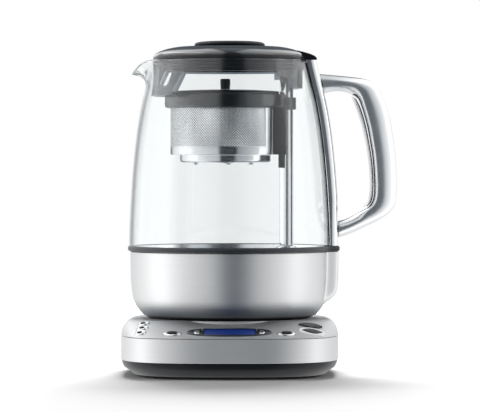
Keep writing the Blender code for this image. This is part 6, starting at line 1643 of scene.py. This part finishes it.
class TEA_OT_stage(Operator):
    """Floor, surroundings and camera"""
    bl_idname = "tea.stage"
    bl_label = "Stage"

    def execute(self, context):
        stage = context.scene.tea_stage
        self.add_world(context.scene, stage)
        self.add_lamps(stage)
        self.add_floor()
        self.add_camera(context.scene, stage)
        context.scene.view_settings.view_transform = "Standard"
        return {"FINISHED"}

    def add_world(self, scene, stage):
        """Surroundings from the tables; the camera sees plain white, and matt surfaces a soft light."""
        world = bpy.data.worlds.new("studio")
        scene.world = world
        world.use_nodes = True
        tree = world.node_tree
        coordinates = add_node(tree, "TexCoord").outputs["Generated"]
        split = add_node(tree, "SeparateXYZ", {"Vector": coordinates}).outputs
        side, back, up = split["X"], split["Y"], split["Z"]
        turn = add_node(tree, "Math", {0: side, 1: product(tree, back, -1.0)}, operation="ARCTAN2")
        azimuth = add_node(tree, "MapRange", {"Value": turn.outputs["Value"], "From Min": -math.pi,
                                              "From Max": math.pi}).outputs["Result"]
        across = add_node(tree, "MapRange", {"Value": side, "From Min": -1.0}).outputs["Result"]
        low, middle, inner = [level_ramp(tree, azimuth, levels)
                              for levels in (LOW_LEVELS, MIDDLE_LEVELS, INNER_LEVELS)]
        overhead = level_ramp(tree, across, TOP_LEVELS)
        path = add_node(tree, "LightPath").outputs
        around = mixed(tree, between(tree, up, *LOW_END), low, middle)
        around = mixed(tree, path["Is Transmission Ray"], around, inner)
        above = product(tree, between(tree, up, *TOP_START), between(tree, back, *TOP_FRONT))
        above = product(tree, above, between(tree, back, *reversed(TOP_BACK)))
        around = mixed(tree, above, around, overhead)
        soft = mixed(tree, path["Diffuse Depth"], around, grey(stage.soft_level))
        background = tree.nodes["Background"]
        tree.links.new(mixed(tree, path["Is Camera Ray"], soft, grey(1.0)), background.inputs["Color"])
        background.inputs["Strength"].default_value = stage.world_level

    def add_lamps(self, stage):
        """Softboxes over and beside the object; the surroundings stand in for their mirror images."""
        for name, power, width, spot, target in (
                ("top_softbox", stage.lamp_power, 1.3, (0.05, 1.6, 1.9), (0.0, 0.0, 0.05)),
                ("left_softbox", stage.side_power, 0.7, (-1.3, -0.2, 0.7), (0.0, 0.0, 0.15)),
                ("right_softbox", stage.side_power, 0.7, (1.3, -0.2, 0.7), (0.0, 0.0, 0.15))):
            lamp = bpy.data.lights.new(name, "AREA")
            lamp.energy = power
            lamp.size = width
            box = linked(name, lamp)
            box.location = spot
            box.rotation_euler = (Vector(target) - Vector(spot)).to_track_quat("-Z", "Y").to_euler()
            box.visible_camera = False
            box.visible_glossy = False
            box.visible_transmission = False

    def add_floor(self):
        """A pale floor that shows white to the camera and keeps the shadow; mirrors see through it."""
        bm = bmesh.new()
        bmesh.ops.create_grid(bm, x_segments=1, y_segments=1, size=FLOOR_HALF_SIZE)
        floor = linked("floor", bpy.data.meshes.new("floor"))
        bm.to_mesh(floor.data)
        bm.free()
        material = bpy.data.materials.new("floor_paper")
        material.use_nodes = True
        tree = material.node_tree
        tree.nodes.remove(tree.nodes["Principled BSDF"])
        path = add_node(tree, "LightPath").outputs
        shade_now = mixed(tree, path["Is Camera Ray"], grey(0.55), grey(0.95))
        paper = add_node(tree, "BsdfDiffuse", {"Color": shade_now}).outputs["BSDF"]
        unseen = add_node(tree, "BsdfTransparent").outputs["BSDF"]
        either = add_node(tree, "MixShader", {"Fac": path["Is Glossy Ray"], 1: paper, 2: unseen})
        tree.links.new(either.outputs["Shader"], tree.nodes["Material Output"].inputs["Surface"])
        floor.data.materials.append(material)

    def add_camera(self, scene, stage):
        """The camera at the photograph's angle."""
        data = bpy.data.cameras.new("camera")
        data.sensor_width = SENSOR_WIDTH
        data.lens = SENSOR_WIDTH * stage.focal_pixels / IMAGE_WIDTH
        camera = linked("camera", data)
        camera.location = (AXIS_X + stage.side_step, -stage.distance, stage.height)
        pitch = math.atan(stage.horizon_rise / stage.focal_pixels)
        camera.rotation_euler = (math.pi / 2 - pitch, 0.0, 0.0)
        data.clip_end = 100.0
        scene.camera = camera


# Add-on


class TEA_PT_panel(Panel):
    """Lists the steps that build the tea maker"""
    bl_idname = "TEA_PT_panel"
    bl_label = "Tea maker"
    bl_space_type = "VIEW_3D"
    bl_region_type = "UI"
    bl_category = "Tea maker"

    def draw(self, context):
        for operator in OPERATORS:
            self.layout.operator(operator.bl_idname)
        for group in GROUPS:
            settings = getattr(context.scene, group)
            box = self.layout.box()
            for name in settings.bl_rna.properties.keys():
                if name not in ("rna_type", "name"):
                    box.prop(settings, name)


GROUPS = {"tea_base": TeaBase, "tea_panel": TeaPanel, "tea_jug": TeaJug, "tea_basket": TeaBasket,
          "tea_lid": TeaLid, "tea_finish": TeaFinish, "tea_stage": TeaStage}
OPERATORS = (TEA_OT_finishes, TEA_OT_base, TEA_OT_controls, TEA_OT_glass, TEA_OT_bowl, TEA_OT_handle,
             TEA_OT_post, TEA_OT_basket, TEA_OT_lid, TEA_OT_stage)
CLASSES = tuple(GROUPS.values()) + OPERATORS + (TEA_PT_panel,)


def register():
    """Registers the classes and hangs the settings on the scene."""
    for each in CLASSES:
        bpy.utils.register_class(each)
    for name, group in GROUPS.items():
        setattr(bpy.types.Scene, name, PointerProperty(type=group))


def unregister():
    """Takes the settings and classes away again."""
    for name in GROUPS:
        delattr(bpy.types.Scene, name)
    for each in reversed(CLASSES):
        bpy.utils.unregister_class(each)


def main():
    """Builds everything in order."""
    register()
    for operator in OPERATORS:
        group, name = operator.bl_idname.split(".")
        getattr(getattr(bpy.ops, group), name)()


if __name__ == "__main__":
    main()
